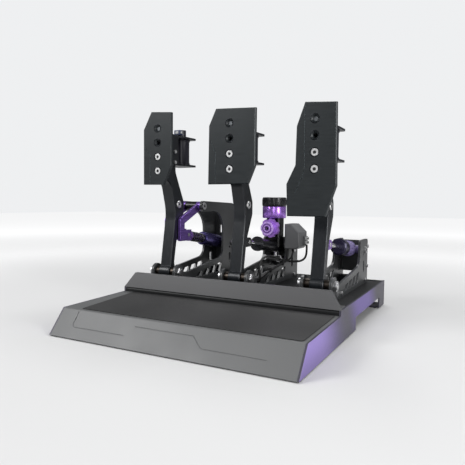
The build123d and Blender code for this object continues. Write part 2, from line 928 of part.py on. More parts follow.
arms = {}
for name, x in module_places.items():
    with BuildPart() as arm:
        with BuildSketch(Plane.YZ.offset(x)):
            with BuildLine():
                bends = [0] + [share * arm_height for share in arm_bend_shares] + [0, 0]
                FilletPolyline(*arm_outline(), radius=bends, close=True)
            make_face()
            with Locations((pivot_y, pivot_z)):
                Circle(arm_boss)
        extrude(amount=arm_width / 2, both=True)
        chamfer(faces().filter_by(Axis.X).edges(), length=arm_edge)
        if name == "clutch":
            roller_ears(x)
        cross_bar(x, pivot_y, pivot_z, arm_width, bush_radius, Mode.SUBTRACT)
        with BuildSketch(Plane.XZ.offset(-neck_y)):
            for number in range(foot_hole_count):
                with Locations((x, pivot_z + hole_rises[name] + number * foot_hole_pitch)):
                    Circle(foot_screw_radius + pin_fit)
        extrude(amount=-foot_tap_depth, mode=Mode.SUBTRACT)
        with BuildSketch(Plane.YZ.offset(x + arm_width / 2)):
            for rise in cage_screw_rises:
                with Locations((cage_screw_y, pivot_z + rise)):
                    Circle(frame_screw_radius + pin_fit)
        extrude(amount=-frame_screw_length, mode=Mode.SUBTRACT)
        with BuildSketch(Plane.YZ.offset(x + arm_width / 2)):
            with Locations((knee_y, knee_z)):
                Circle(foot_screw_radius + pin_fit)
        extrude(amount=-frame_screw_length, mode=Mode.SUBTRACT)
    arms[name] = arm
    save(arm, f"{name}_arm")

# Flanged bushes in both ends of each arm's bore, running on the pivot bolt
collar_end = plate_gap / 2 - fit
for name, x in module_places.items():
    with BuildPart() as arm_bushes:
        for side in (-1, 1):
            turned(
                (x, pivot_y, pivot_z),
                (side, 0, 0),
                [
                    (fit / 2, bush_radius - pin_fit / 2),
                    (arm_width / 2, bush_radius - pin_fit / 2),
                    (arm_width / 2, collar_radius),
                    (collar_end, collar_radius),
                ],
            )
        cross_bar(x, pivot_y, pivot_z, plate_gap, pivot_radius + pin_fit, Mode.SUBTRACT)
    save(arm_bushes, f"{name}_arm_bushes")

# Foot plates: size, place of the middle from the arm's top over its pivot, outline and engraved crease
foot_plates = {
    "clutch": (clutch_foot_size, clutch_foot_offset, clutch_foot_shares, clutch_crease_shares),
    "brake": (brake_foot_size, brake_foot_offset, brake_foot_shares, brake_crease_shares),
    "throttle": (
        throttle_foot_size, throttle_foot_offset, throttle_foot_shares, throttle_crease_shares,
    ),
}
front_face_y = neck_y - foot_sheet


def foot_points(x, size, offset_from_pivot, shares):
    """Points of a foot plate, from shares of its width and height about its middle."""
    return [
        (
            x + offset_from_pivot[0] + along * size[0],
            pivot_z + arm_height + offset_from_pivot[1] + up * size[1],
        )
        for along, up in shares
    ]


def foot_hole_places(name, x):
    """Middles of a foot plate's screw holes, from the lowest up, as (x, z)."""
    return [
        (x, pivot_z + hole_rises[name] + number * foot_hole_pitch)
        for number in range(foot_hole_count)
    ]


for name, x in module_places.items():
    size, offset_from_pivot, outline_shares, crease_shares = foot_plates[name]
    with BuildPart() as foot_plate:
        with BuildSketch(Plane.XZ.offset(-neck_y)):
            with BuildLine():
                Polyline(*foot_points(x, size, offset_from_pivot, outline_shares), close=True)
            make_face()
        extrude(amount=foot_sheet)
        chamfer(faces().sort_by(Axis.Y)[0].edges(), length=foot_edge)
        hole_planes = [
            Plane(origin=(hole_x, front_face_y, hole_z), x_dir=(1, 0, 0), z_dir=(0, -1, 0))
            for hole_x, hole_z in foot_hole_places(name, x)
        ]
        with Locations(*hole_planes):
            CounterSinkHole(foot_hole_radius, foot_sink_radius, foot_sheet, 90)
        with BuildSketch(Plane.XZ.offset(-front_face_y)):
            with BuildLine():
                Polyline(*foot_points(x, size, offset_from_pivot, crease_shares))
            trace(line_width=groove_width)
        extrude(amount=-groove_depth, mode=Mode.SUBTRACT)
    save(foot_plate, f"{name}_foot_plate")

# Screws of each arm: two in the foot plate, two in the motor cage, one at the knee,
# and the pins of what is linked to the arm
nape_y = neck_y + head_depth
clevis_y = pivot_y + clevis_reach
clevis_rises = {"brake": brake_clevis_rise, "throttle": throttle_clevis_rise}
roller_y = pivot_y + roller_reach
roller_z = pivot_z + roller_rise
foot_head_radius = foot_sink_radius - foot_screw_recess - pin_fit
for name, x in module_places.items():
    with BuildPart() as arm_screws:
        for screw_x, screw_z in foot_hole_places(name, x)[:2]:
            turned(
                (screw_x, front_face_y + foot_screw_recess, screw_z),
                (0, 1, 0),
                [
                    (0, foot_head_radius),
                    (foot_head_radius - foot_screw_radius, foot_screw_radius),
                    (foot_screw_length, foot_screw_radius),
                ],
            )
        with BuildSketch(Plane.XZ.offset(-front_face_y - foot_screw_recess)):
            with Locations(*foot_hole_places(name, x)[:2]):
                RegularPolygon(foot_socket, 6)
        extrude(amount=-foot_socket_depth, mode=Mode.SUBTRACT)
        for rise in cage_screw_rises:
            turned(
                (x + arm_width / 2 + cage_sheet + frame_screw_head, cage_screw_y, pivot_z + rise),
                (-1, 0, 0),
                [
                    (0, frame_screw_head_radius),
                    (frame_screw_head, frame_screw_head_radius),
                    (frame_screw_head, frame_screw_radius),
                    (frame_screw_head + frame_screw_length, frame_screw_radius),
                ],
            )
        turned(
            (x + arm_width / 2 + knee_bolt_head, knee_y, knee_z),
            (-1, 0, 0),
            [
                (0, knee_bolt_radius - knee_bolt_head / 2),
                (knee_bolt_head / 2, knee_bolt_radius),
                (knee_bolt_head, knee_bolt_radius),
                (knee_bolt_head, foot_screw_radius),
                (frame_screw_length, foot_screw_radius),
            ],
        )
        if name == "clutch":
            cross_bar(x, roller_y, roller_z, arm_width / 2, roller_pin_radius)
        else:
            cross_bar(x, clevis_y, pivot_z + clevis_rises[name], clevis_width / 2, link_pin_radius)
    save(arm_screws, f"{name}_arm_screws")

# Cage of the vibration motor: web behind the arm, tab on its side, two square flanges
cage_z = pivot_z + cage_low
motor_y = nape_y + cage_reach - motor_inset
for name, x in module_places.items():
    half_arm = arm_width / 2
    half_cage = cage_width / 2
    with BuildPart() as motor_cage:
        with BuildSketch(Plane.XY.offset(cage_z)):
            with BuildLine():
                Polyline(
                    (x - half_arm, nape_y),
                    (x + half_arm, nape_y),
                    (x + half_arm, nape_y - cage_tab),
                    (x + half_arm + cage_sheet, nape_y - cage_tab),
                    (x + half_arm + cage_sheet, nape_y + cage_sheet),
                    (x - half_arm, nape_y + cage_sheet),
                    close=True,
                )
            make_face()
        extrude(amount=cage_height)
        with BuildSketch(Plane.XY.offset(cage_z), Plane.XY.offset(cage_z + cage_height - cage_sheet)):
            with BuildLine():
                FilletPolyline(
                    (x - half_arm, nape_y),
                    (x - half_cage, nape_y + cage_flare),
                    (x - half_cage, nape_y + cage_reach),
                    (x + half_cage, nape_y + cage_reach),
                    (x + half_cage, nape_y + cage_flare),
                    (x + half_arm, nape_y),
                    radius=[0, 0, cage_corner, cage_corner, 0, 0],
                    close=True,
                )
            make_face()
        extrude(amount=cage_sheet)
        with BuildSketch(Plane.XY.offset(cage_z + cage_height)):
            with Locations((x, motor_y)):
                Circle(connector_radius + fit)
        extrude(amount=-cage_sheet - overrun, mode=Mode.SUBTRACT)
        with BuildSketch(Plane.YZ.offset(x + half_arm)):
            for rise in cage_screw_rises:
                with Locations((cage_screw_y, pivot_z + rise)):
                    Circle(frame_screw_radius + pin_fit)
        extrude(amount=cage_sheet, mode=Mode.SUBTRACT)
    save(motor_cage, f"{name}_motor_cage")

# Vibration motors between the cage's flanges, with a connector through the upper one
motor_length = cage_height - 2 * cage_sheet - fit
for name, x in module_places.items():
    with BuildPart() as haptic_motor:
        turned(
            (x, motor_y, cage_z + cage_sheet + fit / 2),
            (0, 0, 1),
            [
                (0, motor_radius),
                (motor_rim_length, motor_radius),
                (motor_rim_length, motor_radius - motor_rim),
                (motor_length - motor_rim_length, motor_radius - motor_rim),
                (motor_length - motor_rim_length, motor_radius),
                (motor_length, motor_radius),
                (motor_length, connector_radius),
                (motor_length + cage_sheet + connector_height, connector_radius),
            ],
        )
    save(haptic_motor, f"{name}_haptic_motor")


# Each linkage runs on a line in a module's middle plane, from a rod's eye to the rear pin
def linkage(x, eye_y, eye_z, name):
    """Eye, rear pin, their distance, and the direction from the eye to the pin."""
    rear_z = deck_height + rear_rises[name]
    length = hypot(rear_pin_y - eye_y, rear_z - eye_z)
    heading = (0, (rear_pin_y - eye_y) / length, (rear_z - eye_z) / length)
    return (x, eye_y, eye_z), (x, rear_pin_y, rear_z), length, heading


def turned_back(heading):
    """The opposite direction."""
    return (0, -heading[1], -heading[2])


def rod_eye(eye, reach):
    """The round eye of a rod, bored with play for the pivot that stays open."""
    cross_bar(*eye, reach, eye_radius)


def rear_barrel(pin):
    """The barrel of a damper or cylinder round its rear pin."""
    cross_bar(*pin, plate_gap / 2 - barrel_play, barrel_radius)


def bore_for_rod(pin, heading, front):
    """The bore that a rod slides in, and the bore round the rear pin."""
    steps = [(front - bore_depth, rod_radius + running_fit), (front + overrun, rod_radius + running_fit)]
    turned(pin, turned_back(heading), steps, Mode.SUBTRACT)
    cross_bar(*pin, plate_gap, pin_radius + pin_fit, Mode.SUBTRACT)


clutch_x = module_places["clutch"]
rocker_pin_y = pivot_y + rocker_pin_reach
rocker_pin_z = pivot_z + rocker_pin_rise
clutch_eye, clutch_pin, clutch_span, clutch_heading = linkage(
    clutch_x, rocker_pin_y, rocker_pin_z, "clutch"
)

# Clutch rocker: two cheeks outside the arm, a web that the roller pushes, and a hub
rocker_half = arm_width / 2 + rocker_play
rocker_front = pivot_y + rocker_front_reach
rocker_bottom = pivot_z + rocker_bottom_rise
web_front = pivot_y + roller_reach + roller_radius + web_play
elbow_y = rocker_front + rocker_link_width / 2
elbow_z = pivot_z + rocker_elbow_rise
link_span = hypot(hanger_y - elbow_y, hanger_z - elbow_z)
link_angle = degrees(atan2(hanger_z - elbow_z, hanger_y - elbow_y))
with BuildPart() as clutch_rocker:
    with BuildSketch(
        Plane.YZ.offset(clutch_x - rocker_half - rocker_cheek),
        Plane.YZ.offset(clutch_x + rocker_half),
    ):
        with Locations((rocker_front + rocker_leg_depth / 2, (rocker_bottom + elbow_z) / 2)):
            Rectangle(rocker_leg_depth, elbow_z - rocker_bottom)
        with Locations((rocker_front + rocker_toe_depth / 2, rocker_bottom + rocker_toe_height / 2)):
            Rectangle(rocker_toe_depth, rocker_toe_height)
        with Locations(((elbow_y + hanger_y) / 2, (elbow_z + hanger_z) / 2)):
            SlotCenterToCenter(link_span, rocker_link_width, rotation=link_angle)
    extrude(amount=rocker_cheek)
    with BuildSketch(Plane.YZ.offset(clutch_x)):
        with Locations((web_front + rocker_sheet / 2, rocker_bottom + web_height / 2)):
            Rectangle(rocker_sheet, web_height)
    extrude(amount=rocker_half + rocker_cheek, both=True)
    cross_bar(clutch_x, hanger_y, hanger_z, plate_gap / 2 - barrel_play, rocker_hub)
    cross_bar(clutch_x, hanger_y, hanger_z, plate_gap, pin_radius + pin_fit, Mode.SUBTRACT)
    cross_bar(clutch_x, rocker_pin_y, rocker_pin_z, plate_gap, link_pin_radius + pin_fit, Mode.SUBTRACT)
save(clutch_rocker, "clutch_rocker")

with BuildPart() as clutch_rocker_pin:
    cross_bar(clutch_x, rocker_pin_y, rocker_pin_z, rocker_half + rocker_cheek, link_pin_radius)
save(clutch_rocker_pin, "clutch_rocker_pin")

with BuildPart() as clutch_roller:
    roller_half = arm_width / 2 - ear_sheet - roller_play
    cross_bar(clutch_x, roller_y, roller_z, roller_half, roller_radius)
    cross_bar(clutch_x, roller_y, roller_z, arm_width, roller_pin_radius + pin_fit, Mode.SUBTRACT)
save(clutch_roller, "clutch_roller")

# Clutch rod with the spring's collar
collar_end_place = collar_start + collar_length
with BuildPart() as clutch_rod:
    rod_eye(clutch_eye, rocker_half - barrel_play)
    turned(
        clutch_eye,
        clutch_heading,
        [
            (0, rod_radius),
            (collar_start, rod_radius),
            (collar_start, collar_flange_radius),
            (collar_end_place, collar_flange_radius),
            (collar_end_place, rod_radius),
            (clutch_rod_length, rod_radius),
        ],
    )
    cross_bar(*clutch_eye, plate_gap, link_pin_radius + open_pivot_play, Mode.SUBTRACT)
save(clutch_rod, "clutch_rod")

# Clutch damper, distances from its rear pin
damper_front_place = clutch_span - clutch_damper_front
with BuildPart() as clutch_damper:
    rear_barrel(clutch_pin)
    turned(
        clutch_pin,
        turned_back(clutch_heading),
        [
            (0, throttle_neck_radius),
            (clutch_span - clutch_damper_neck, throttle_neck_radius),
            (clutch_span - clutch_damper_neck, clutch_damper_neck_radius),
            (clutch_span - clutch_damper_shoulder, clutch_damper_radius),
            (damper_front_place - damper_edge, clutch_damper_radius),
            (damper_front_place, clutch_damper_radius - damper_edge),
        ],
    )
    bore_for_rod(clutch_pin, clutch_heading, damper_front_place)
save(clutch_damper, "clutch_damper")

# Coil spring between collar and damper: an eight-sided wire swept along biarcs
spring_start = collar_end_place + spring_wire / 2 + spring_play
spring_end = clutch_damper_front - spring_wire / 2 - spring_play
spring_steps = round(spring_turns * spring_arcs_per_turn)
axis_vector = Vector(*clutch_heading)
side_vector = Vector(1, 0, 0)
lift_vector = axis_vector.cross(side_vector)


def spring_point(turn):
    """Middle of the wire after so many turns."""
    angle = 2 * pi * turn
    along = spring_start + (spring_end - spring_start) * turn / spring_turns
    out = side_vector * cos(angle) + lift_vector * sin(angle)
    return Vector(*clutch_eye) + axis_vector * along + out * spring_mean_radius


def spring_heading(turn):
    """Direction of the wire after so many turns."""
    angle = 2 * pi * turn
    around = lift_vector * cos(angle) - side_vector * sin(angle)
    climb = (spring_end - spring_start) / (2 * pi * spring_turns)
    return (around * spring_mean_radius + axis_vector * climb).normalized()


def biarc(start, start_heading, end, end_heading):
    """Two tangent arcs from one point and heading to the next."""
    chord = end - start
    total = start_heading + end_heading
    lean = chord.dot(total)
    bend = 2 * (1 - start_heading.dot(end_heading))
    reach = (sqrt(lean * lean + bend * chord.dot(chord)) - lean) / bend
    middle = (start + end + (start_heading - end_heading) * reach) * (1 / 2)
    TangentArc(start, middle, tangent=start_heading)
    TangentArc(middle, end, tangent=end - end_heading * reach - middle)


with BuildPart() as clutch_spring:
    with BuildLine() as spring_line:
        first = spring_point(0)
        first_heading = spring_heading(0)
        last = spring_point(spring_turns)
        last_heading = spring_heading(spring_turns)
        Line(first - first_heading * spring_wire, first)
        for step in range(spring_steps):
            turn = step * spring_turns / spring_steps
            next_turn = (step + 1) * spring_turns / spring_steps
            biarc(
                spring_point(turn), spring_heading(turn),
                spring_point(next_turn), spring_heading(next_turn),
            )
        Line(last, last + last_heading * spring_wire)
    with BuildSketch(Plane(origin=first - first_heading * spring_wire, z_dir=first_heading)):
        RegularPolygon(spring_wire / 2, spring_sides)
    sweep(path=spring_line.wire())
save(clutch_spring, "clutch_spring")

sample_count = round(spring_turns * spring_samples_per_turn)
spring_samples = [spring_point(n / spring_samples_per_turn) for n in range(sample_count + 1)]
spring_gap = min(
    (spring_samples[a] - spring_samples[b]).length - spring_wire
    for a in range(sample_count + 1)
    for b in range(a + spring_samples_per_turn // 2, sample_count + 1)
)
print(f"least gap of the spring to itself: {spring_gap:.2f} mm")


def arm_clevis(name, x):
    """A forked clevis on the back of an arm, cut to the arm's line."""
    pin_z = pivot_z + clevis_rises[name]
    with BuildSketch(Plane.YZ.offset(x)) as cheek:
        with Locations((clevis_y, pin_z)):
            Circle(clevis_ear)
        with Locations((clevis_y - clevis_depth / 2, pin_z)):
            Rectangle(clevis_depth, 2 * clevis_ear)
    extrude(cheek.sketch, amount=clevis_width / 2, both=True)
    with BuildSketch(Plane.XY.offset(pin_z)) as fork:
        with Locations((x, clevis_y)):
            Rectangle(clevis_gap, 2 * clevis_ear + 2 * running_fit)
    extrude(fork.sketch, amount=clevis_ear, both=True, mode=Mode.SUBTRACT)
    cross_bar(x, clevis_y, pin_z, arm_width, link_pin_radius + pin_fit, Mode.SUBTRACT)
    add(arms[name].part, mode=Mode.SUBTRACT)


def push_rod(eye, heading, length):
    """A straight rod with an eye between the ears of a clevis."""
    cross_bar(*eye, clevis_gap / 2 - barrel_play, eye_radius)
    turned(eye, heading, [(0, rod_radius), (length, rod_radius)])
    cross_bar(*eye, plate_gap, link_pin_radius + open_pivot_play, Mode.SUBTRACT)


# Throttle linkage
throttle_x = module_places["throttle"]
throttle_eye, throttle_pin, throttle_span, throttle_heading = linkage(
    throttle_x, clevis_y, pivot_z + throttle_clevis_rise, "throttle"
)
with BuildPart() as throttle_clevis:
    arm_clevis("throttle", throttle_x)
save(throttle_clevis, "throttle_clevis")

with BuildPart() as throttle_rod:
    push_rod(throttle_eye, throttle_heading, throttle_rod_length)
save(throttle_rod, "throttle_rod")

rear_place = throttle_span - throttle_damper_rear
front_place = throttle_span - throttle_damper_front
band_place = rear_place + throttle_band_inset
with BuildPart() as throttle_damper:
    rear_barrel(throttle_pin)
    turned(
        throttle_pin,
        turned_back(throttle_heading),
        [
            (0, throttle_neck_radius),
            (rear_place, throttle_neck_radius),
            (rear_place, throttle_damper_radius - damper_edge),
            (rear_place + damper_edge, throttle_damper_radius),
            (band_place, throttle_damper_radius),
            (band_place, throttle_damper_radius + throttle_ring_step),
            (band_place + throttle_band, throttle_damper_radius + throttle_ring_step),
            (band_place + throttle_band, throttle_damper_radius),
            (front_place - throttle_ring, throttle_damper_radius),
            (front_place - throttle_ring, throttle_damper_radius + throttle_ring_step),
            (front_place - damper_edge, throttle_damper_radius + throttle_ring_step),
            (front_place, throttle_damper_radius - damper_edge),
        ],
    )
    bore_for_rod(throttle_pin, throttle_heading, front_place)
save(throttle_damper, "throttle_damper")

# Brake linkage
brake_x = module_places["brake"]
brake_eye, brake_pin, brake_span, brake_heading = linkage(
    brake_x, clevis_y, pivot_z + brake_clevis_rise, "brake"
)
with BuildPart() as brake_clevis:
    arm_clevis("brake", brake_x)
save(brake_clevis, "brake_clevis")

with BuildPart() as brake_push_rod:
    push_rod(brake_eye, brake_heading, brake_rod_length)
save(brake_push_rod, "brake_push_rod")

cylinder_front_place = brake_span - cylinder_front
cylinder_rear_place = brake_span - cylinder_rear
with BuildPart() as brake_cylinder:
    rear_barrel(brake_pin)
    turned(
        brake_pin,
        turned_back(brake_heading),
        [
            (0, throttle_neck_radius),
            (cylinder_rear_place, throttle_neck_radius),
            (cylinder_rear_place, cylinder_radius),
            (cylinder_front_place - cylinder_collar_length, cylinder_radius),
            (cylinder_front_place - cylinder_collar_length, cylinder_radius + cylinder_collar),
            (cylinder_front_place, cylinder_radius + cylinder_collar),
        ],
    )
    bore_for_rod(brake_pin, brake_heading, cylinder_front_place)
save(brake_cylinder, "brake_cylinder")

# Reservoir, machined in one with the saddle on the cylinder and the knob's stud
saddle_front = pivot_y + saddle_reach
reservoir_y = pivot_y + reservoir_reach
reservoir_low = pivot_z + reservoir_low_rise
reservoir_high = pivot_z + reservoir_high_rise
knob_z = pivot_z + knob_rise
cylinder_clearance = [(0, cylinder_radius + pin_fit), (brake_span, cylinder_radius + pin_fit)]
with BuildPart() as brake_reservoir:
    with BuildSketch(Plane.XY.offset(pivot_z + saddle_low_rise)):
        with Locations((brake_x, saddle_front + saddle_depth / 2)):
            Rectangle(saddle_width, saddle_depth)
    extrude(amount=reservoir_low_rise - saddle_low_rise)
    chamfer(edges().filter_by(Axis.Z), length=damper_edge)
    turned(
        (brake_x, reservoir_y, reservoir_low),
        (0, 0, 1),
        [
            (0, reservoir_radius - damper_edge),
            (damper_edge, reservoir_radius),
            (reservoir_high - reservoir_low, reservoir_radius),
        ],
    )
    turned(
        (brake_x, reservoir_y, reservoir_low),
        (0, 0, 1),
        [
            (reservoir_wall, reservoir_radius - reservoir_wall),
            (reservoir_high - reservoir_low + overrun, reservoir_radius - reservoir_wall),
        ],
        Mode.SUBTRACT,
    )
    stud_steps = [(-damper_edge, knob_stud_radius), (knob_stud_length, knob_stud_radius)]
    turned((brake_x, saddle_front, knob_z), (0, -1, 0), stud_steps)
    turned(brake_pin, turned_back(brake_heading), cylinder_clearance, Mode.SUBTRACT)
save(brake_reservoir, "brake_reservoir")

with BuildPart() as brake_reservoir_cap:
    turned(
        (brake_x, reservoir_y, reservoir_high - cap_plug),
        (0, 0, 1),
        [
            (0, reservoir_radius - reservoir_wall - pin_fit),
            (cap_plug, reservoir_radius - reservoir_wall - pin_fit),
            (cap_plug, reservoir_radius),
            (cap_plug + cap_height - cap_edge, reservoir_radius),
            (cap_plug + cap_height, reservoir_radius - cap_edge),
        ],
    )
save(brake_reservoir_cap, "brake_reservoir_cap")

# Preload knob that turns on the stud: a ringed face, a lobed ring and a plain waist
knob_front = saddle_front - knob_play - knob_length
with BuildPart() as brake_knob:
    with BuildSketch(Plane.XZ.offset(-knob_front - knob_face_depth - knob_lobe_length)):
        with Locations((brake_x, knob_z)):
            Circle(knob_radius)
            with PolarLocations(knob_radius + knob_scallop / 2, knob_lobes):
                Circle(knob_scallop, mode=Mode.SUBTRACT)
    extrude(amount=knob_lobe_length)
    turned(
        (brake_x, knob_front, knob_z),
        (0, 1, 0),
        [
            (knob_dimple_depth, knob_dimple_radius),
            (knob_ring_depth, knob_dimple_radius),
            (knob_ring_depth, knob_ring_radii[0]),
            (0, knob_ring_radii[0]),
            (0, knob_ring_radii[1]),
            (knob_ring_depth, knob_ring_radii[1]),
            (knob_ring_depth, knob_ring_radii[2]),
            (2 * knob_ring_depth, knob_ring_radii[2]),
            (2 * knob_ring_depth, knob_face_radius),
            (knob_face_depth, knob_face_radius),
            (knob_face_depth, knob_waist_radius),
            (knob_length, knob_waist_radius),
        ],
    )
    bore_steps = [(-overrun, knob_stud_radius + pin_fit), (knob_stud_length, knob_stud_radius + pin_fit)]
    turned((brake_x, saddle_front - knob_play, knob_z), (0, -1, 0), bore_steps, Mode.SUBTRACT)
save(brake_knob, "brake_knob")

# Pressure sensor that hangs parallel below the cylinder on its neck
down = Vector(0, brake_heading[2], -brake_heading[1])
sensor_origin = Vector(*brake_eye) + down * sensor_drop
neck_origin = Vector(*brake_eye) + Vector(*brake_heading) * sensor_neck_place
with BuildPart() as brake_pressure_sensor:
    turned(
        tuple(sensor_origin),
        brake_heading,
        [
            (sensor_front, sensor_radius),
            (sensor_rear - sensor_hex_length, sensor_radius),
            (sensor_rear - sensor_hex_length, sensor_hex_radius),
            (sensor_rear, sensor_hex_radius),
        ],
    )
    neck_steps = [(cylinder_radius / 2, sensor_neck_radius), (sensor_drop, sensor_neck_radius)]
    turned(tuple(neck_origin), tuple(down), neck_steps)
    turned(brake_pin, turned_back(brake_heading), cylinder_clearance, Mode.SUBTRACT)
save(brake_pressure_sensor, "brake_pressure_sensor")

# Control box on the brake's right side plate, with a cut-back upper corner
box_x = brake_x + module_half
box_y = pivot_y + box_reach
box_low = pivot_z - pivot_rise + box_low_rise
with BuildPart() as control_box:
    with BuildSketch(Plane.XZ.offset(-box_y)):
        with BuildLine():
            Polyline(
                (box_x, box_low),
                (box_x + box_width - box_low_cut, box_low),
                (box_x + box_width, box_low + box_low_cut),
                (box_x + box_width, box_low + box_height - box_cut_height),
                (box_x + box_width - box_cut_width, box_low + box_height),
                (box_x, box_low + box_height),
                close=True,
            )
        make_face()
    extrude(amount=-box_depth)
    chamfer(faces().filter_by(Axis.Y).edges(), length=box_edge)
    with BuildSketch(Plane.YZ.offset(box_x + box_width)):
        with Locations((box_y + box_depth - box_socket_inset, box_low + box_height / 3)):
            Rectangle(*box_socket_size)
    extrude(amount=box_socket_depth)
save(control_box, "control_box")


def captive_cable(points):
    """Sweep a cable along straight runs joined by tangent arcs, and print its bends."""
    vectors = [Vector(*point) for point in points]
    radii = []
    for before, corner, after in zip(vectors, vectors[1:], vectors[2:]):
        arriving = corner - before
        leaving = after - corner
        half_turn = radians(arriving.get_angle(leaving)) / 2
        radii.append(cable_bend_share * min(arriving.length, leaving.length) / tan(half_turn))
    with BuildLine() as run:
        FilletPolyline(*points, radius=radii)
    with BuildSketch(Plane(origin=points[0], z_dir=run.wire() % 0)) as section:
        Circle(cable_radius)
    sweep(section.sketch, path=run.wire())
    print("cable bends:", [round(radius, 1) for radius in radii])
    return run.wire().length


with BuildPart() as sensor_cables:
    cable_length = captive_cable(sensor_cable_points)
    cable_length = cable_length + captive_cable(box_cable_points) + captive_cable(motor_cable_points)
save(sensor_cables, "sensor_cables")
cable_volume = pi * cable_radius ** 2 * cable_length
print(f"cables: volume {sensor_cables.part.volume:.0f} of {cable_volume:.0f} cubic mm")
print(f"overall {overall_width:.1f} wide and {overall_depth:.1f} deep")
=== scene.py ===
# %% [markdown]
# A sim racing pedal set: three pedals on a base of folded sheet, with a heel rest in
# front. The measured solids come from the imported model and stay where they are. This
# lesson gives them their finishes and adds the pieces that need a finer mesh.

# %% Load the solids
import math

import bmesh
import bpy
from mathutils import Matrix, Vector


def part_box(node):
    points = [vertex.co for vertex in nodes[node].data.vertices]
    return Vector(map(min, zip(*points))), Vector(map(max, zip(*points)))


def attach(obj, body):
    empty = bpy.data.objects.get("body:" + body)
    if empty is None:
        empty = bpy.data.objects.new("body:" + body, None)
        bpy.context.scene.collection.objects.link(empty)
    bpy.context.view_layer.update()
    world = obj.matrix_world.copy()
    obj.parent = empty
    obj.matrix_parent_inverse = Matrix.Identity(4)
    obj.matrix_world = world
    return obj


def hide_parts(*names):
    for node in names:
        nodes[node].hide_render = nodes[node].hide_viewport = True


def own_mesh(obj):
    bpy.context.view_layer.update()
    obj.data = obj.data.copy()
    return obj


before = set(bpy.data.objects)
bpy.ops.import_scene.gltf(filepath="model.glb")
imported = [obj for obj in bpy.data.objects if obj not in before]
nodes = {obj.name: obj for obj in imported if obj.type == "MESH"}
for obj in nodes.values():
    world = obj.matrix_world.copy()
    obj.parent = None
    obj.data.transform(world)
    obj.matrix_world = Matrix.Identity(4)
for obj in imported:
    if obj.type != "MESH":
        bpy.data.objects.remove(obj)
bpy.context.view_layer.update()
mm = 0.001

# %% [markdown]
# The camera stands at the right of the front and looks back to the left, a little down.
# It could be aimed at a point, but then the slight roll of the view would be lost. Its
# turn is built from the direction of view, so the numbers read as a place, a heading, a
# tilt and a roll. The picture is square, and the sensor is 36 mm wide.

# %% Camera
eye = Vector((0.3349, -0.6564, 0.1779))
heading = 0.4897
tilt = 0.0617
roll = 0.0074
forward = Vector((-math.sin(heading) * math.cos(tilt), math.cos(heading) * math.cos(tilt), -math.sin(tilt)))
level = Vector((math.cos(heading), math.sin(heading), 0))
upward = level.cross(forward)
right = level * math.cos(roll) + upward * math.sin(roll)
upward = right.cross(forward)
camera_data = bpy.data.cameras.new("camera")
camera_data.lens = 37.32
camera_data.sensor_width = 36.0
camera_data.clip_start = 0.01
camera = bpy.data.objects.new("camera", camera_data)
camera.matrix_world = Matrix.Translation(eye) @ Matrix((right, upward, -forward)).transposed().to_4x4()
bpy.context.collection.objects.link(camera)
bpy.context.scene.camera = camera
print("camera:", round(camera_data.lens, 2), "mm lens at", [round(part, 3) for part in eye])

# %% [markdown]
# A finish is a small network of shader nodes. Written node by node it is hard to read,
# so one class wraps a node's output: adding or multiplying two of them adds a Math node.
# A finish then reads as a formula, and only its own numbers differ. A noise keeps mostly
# between 0.3 and 0.7, so spread() stretches that part over the range that is wanted.

# %% Sockets that add up
class Shade:
    def __init__(self, network, output):
        self.network = network
        self.output = output

    def math(self, operation, *values):
        return self.network.add("ShaderNodeMath", {"operation": operation}, dict(enumerate(values)))

    def __add__(self, other):
        return self.math("ADD", self, other)

    def __sub__(self, other):
        return self.math("SUBTRACT", self, other)

    def __rsub__(self, other):
        return self.math("SUBTRACT", other, self)

    def __mul__(self, other):
        return self.math("MULTIPLY", self, other)

    def __truediv__(self, other):
        return self.math("DIVIDE", self, other)

    def __pow__(self, other):
        return self.math("POWER", self, other)

    __radd__ = __add__
    __rmul__ = __mul__

    def __abs__(self):
        return self.math("ABSOLUTE", self)

    def step(self, low, high, to_low=0.0, to_high=1.0):
        values = {"Value": self, "From Min": low, "From Max": high, "To Min": to_low, "To Max": to_high}
        return self.network.add("ShaderNodeMapRange", {"interpolation_type": "SMOOTHSTEP"}, values)

    def spread(self, to_low=0.0, to_high=1.0):
        return self.step(0.3, 0.7, to_low, to_high)


# %% [markdown]
# One method adds every node: it sets the node's own choices first and its sockets after
# them. Every finish starts from the Principled shader. The solids carry patterns on Object
# coordinates, so a grain keeps its size in metres and stays put when a pedal swings.
# Real edges are never knife sharp: the Bevel node turns the normals of a thin band on
# each edge, which catches the light as a coated edge does.

# %% A network and a finish
class Network:
    def __init__(self, tree):
        self.tree = tree

    def feed(self, socket, value):
        if isinstance(value, Shade):
            self.tree.links.new(value.output, socket)
        else:
            socket.default_value = value

    def add(self, kind, settings=None, values=None, output=0):
        node = self.tree.nodes.new(kind)
        for name, setting in (settings or {}).items():
            setattr(node, name, setting)
        for name, value in (values or {}).items():
            self.feed(node.inputs[name], value)
        return Shade(self, node.outputs[output])


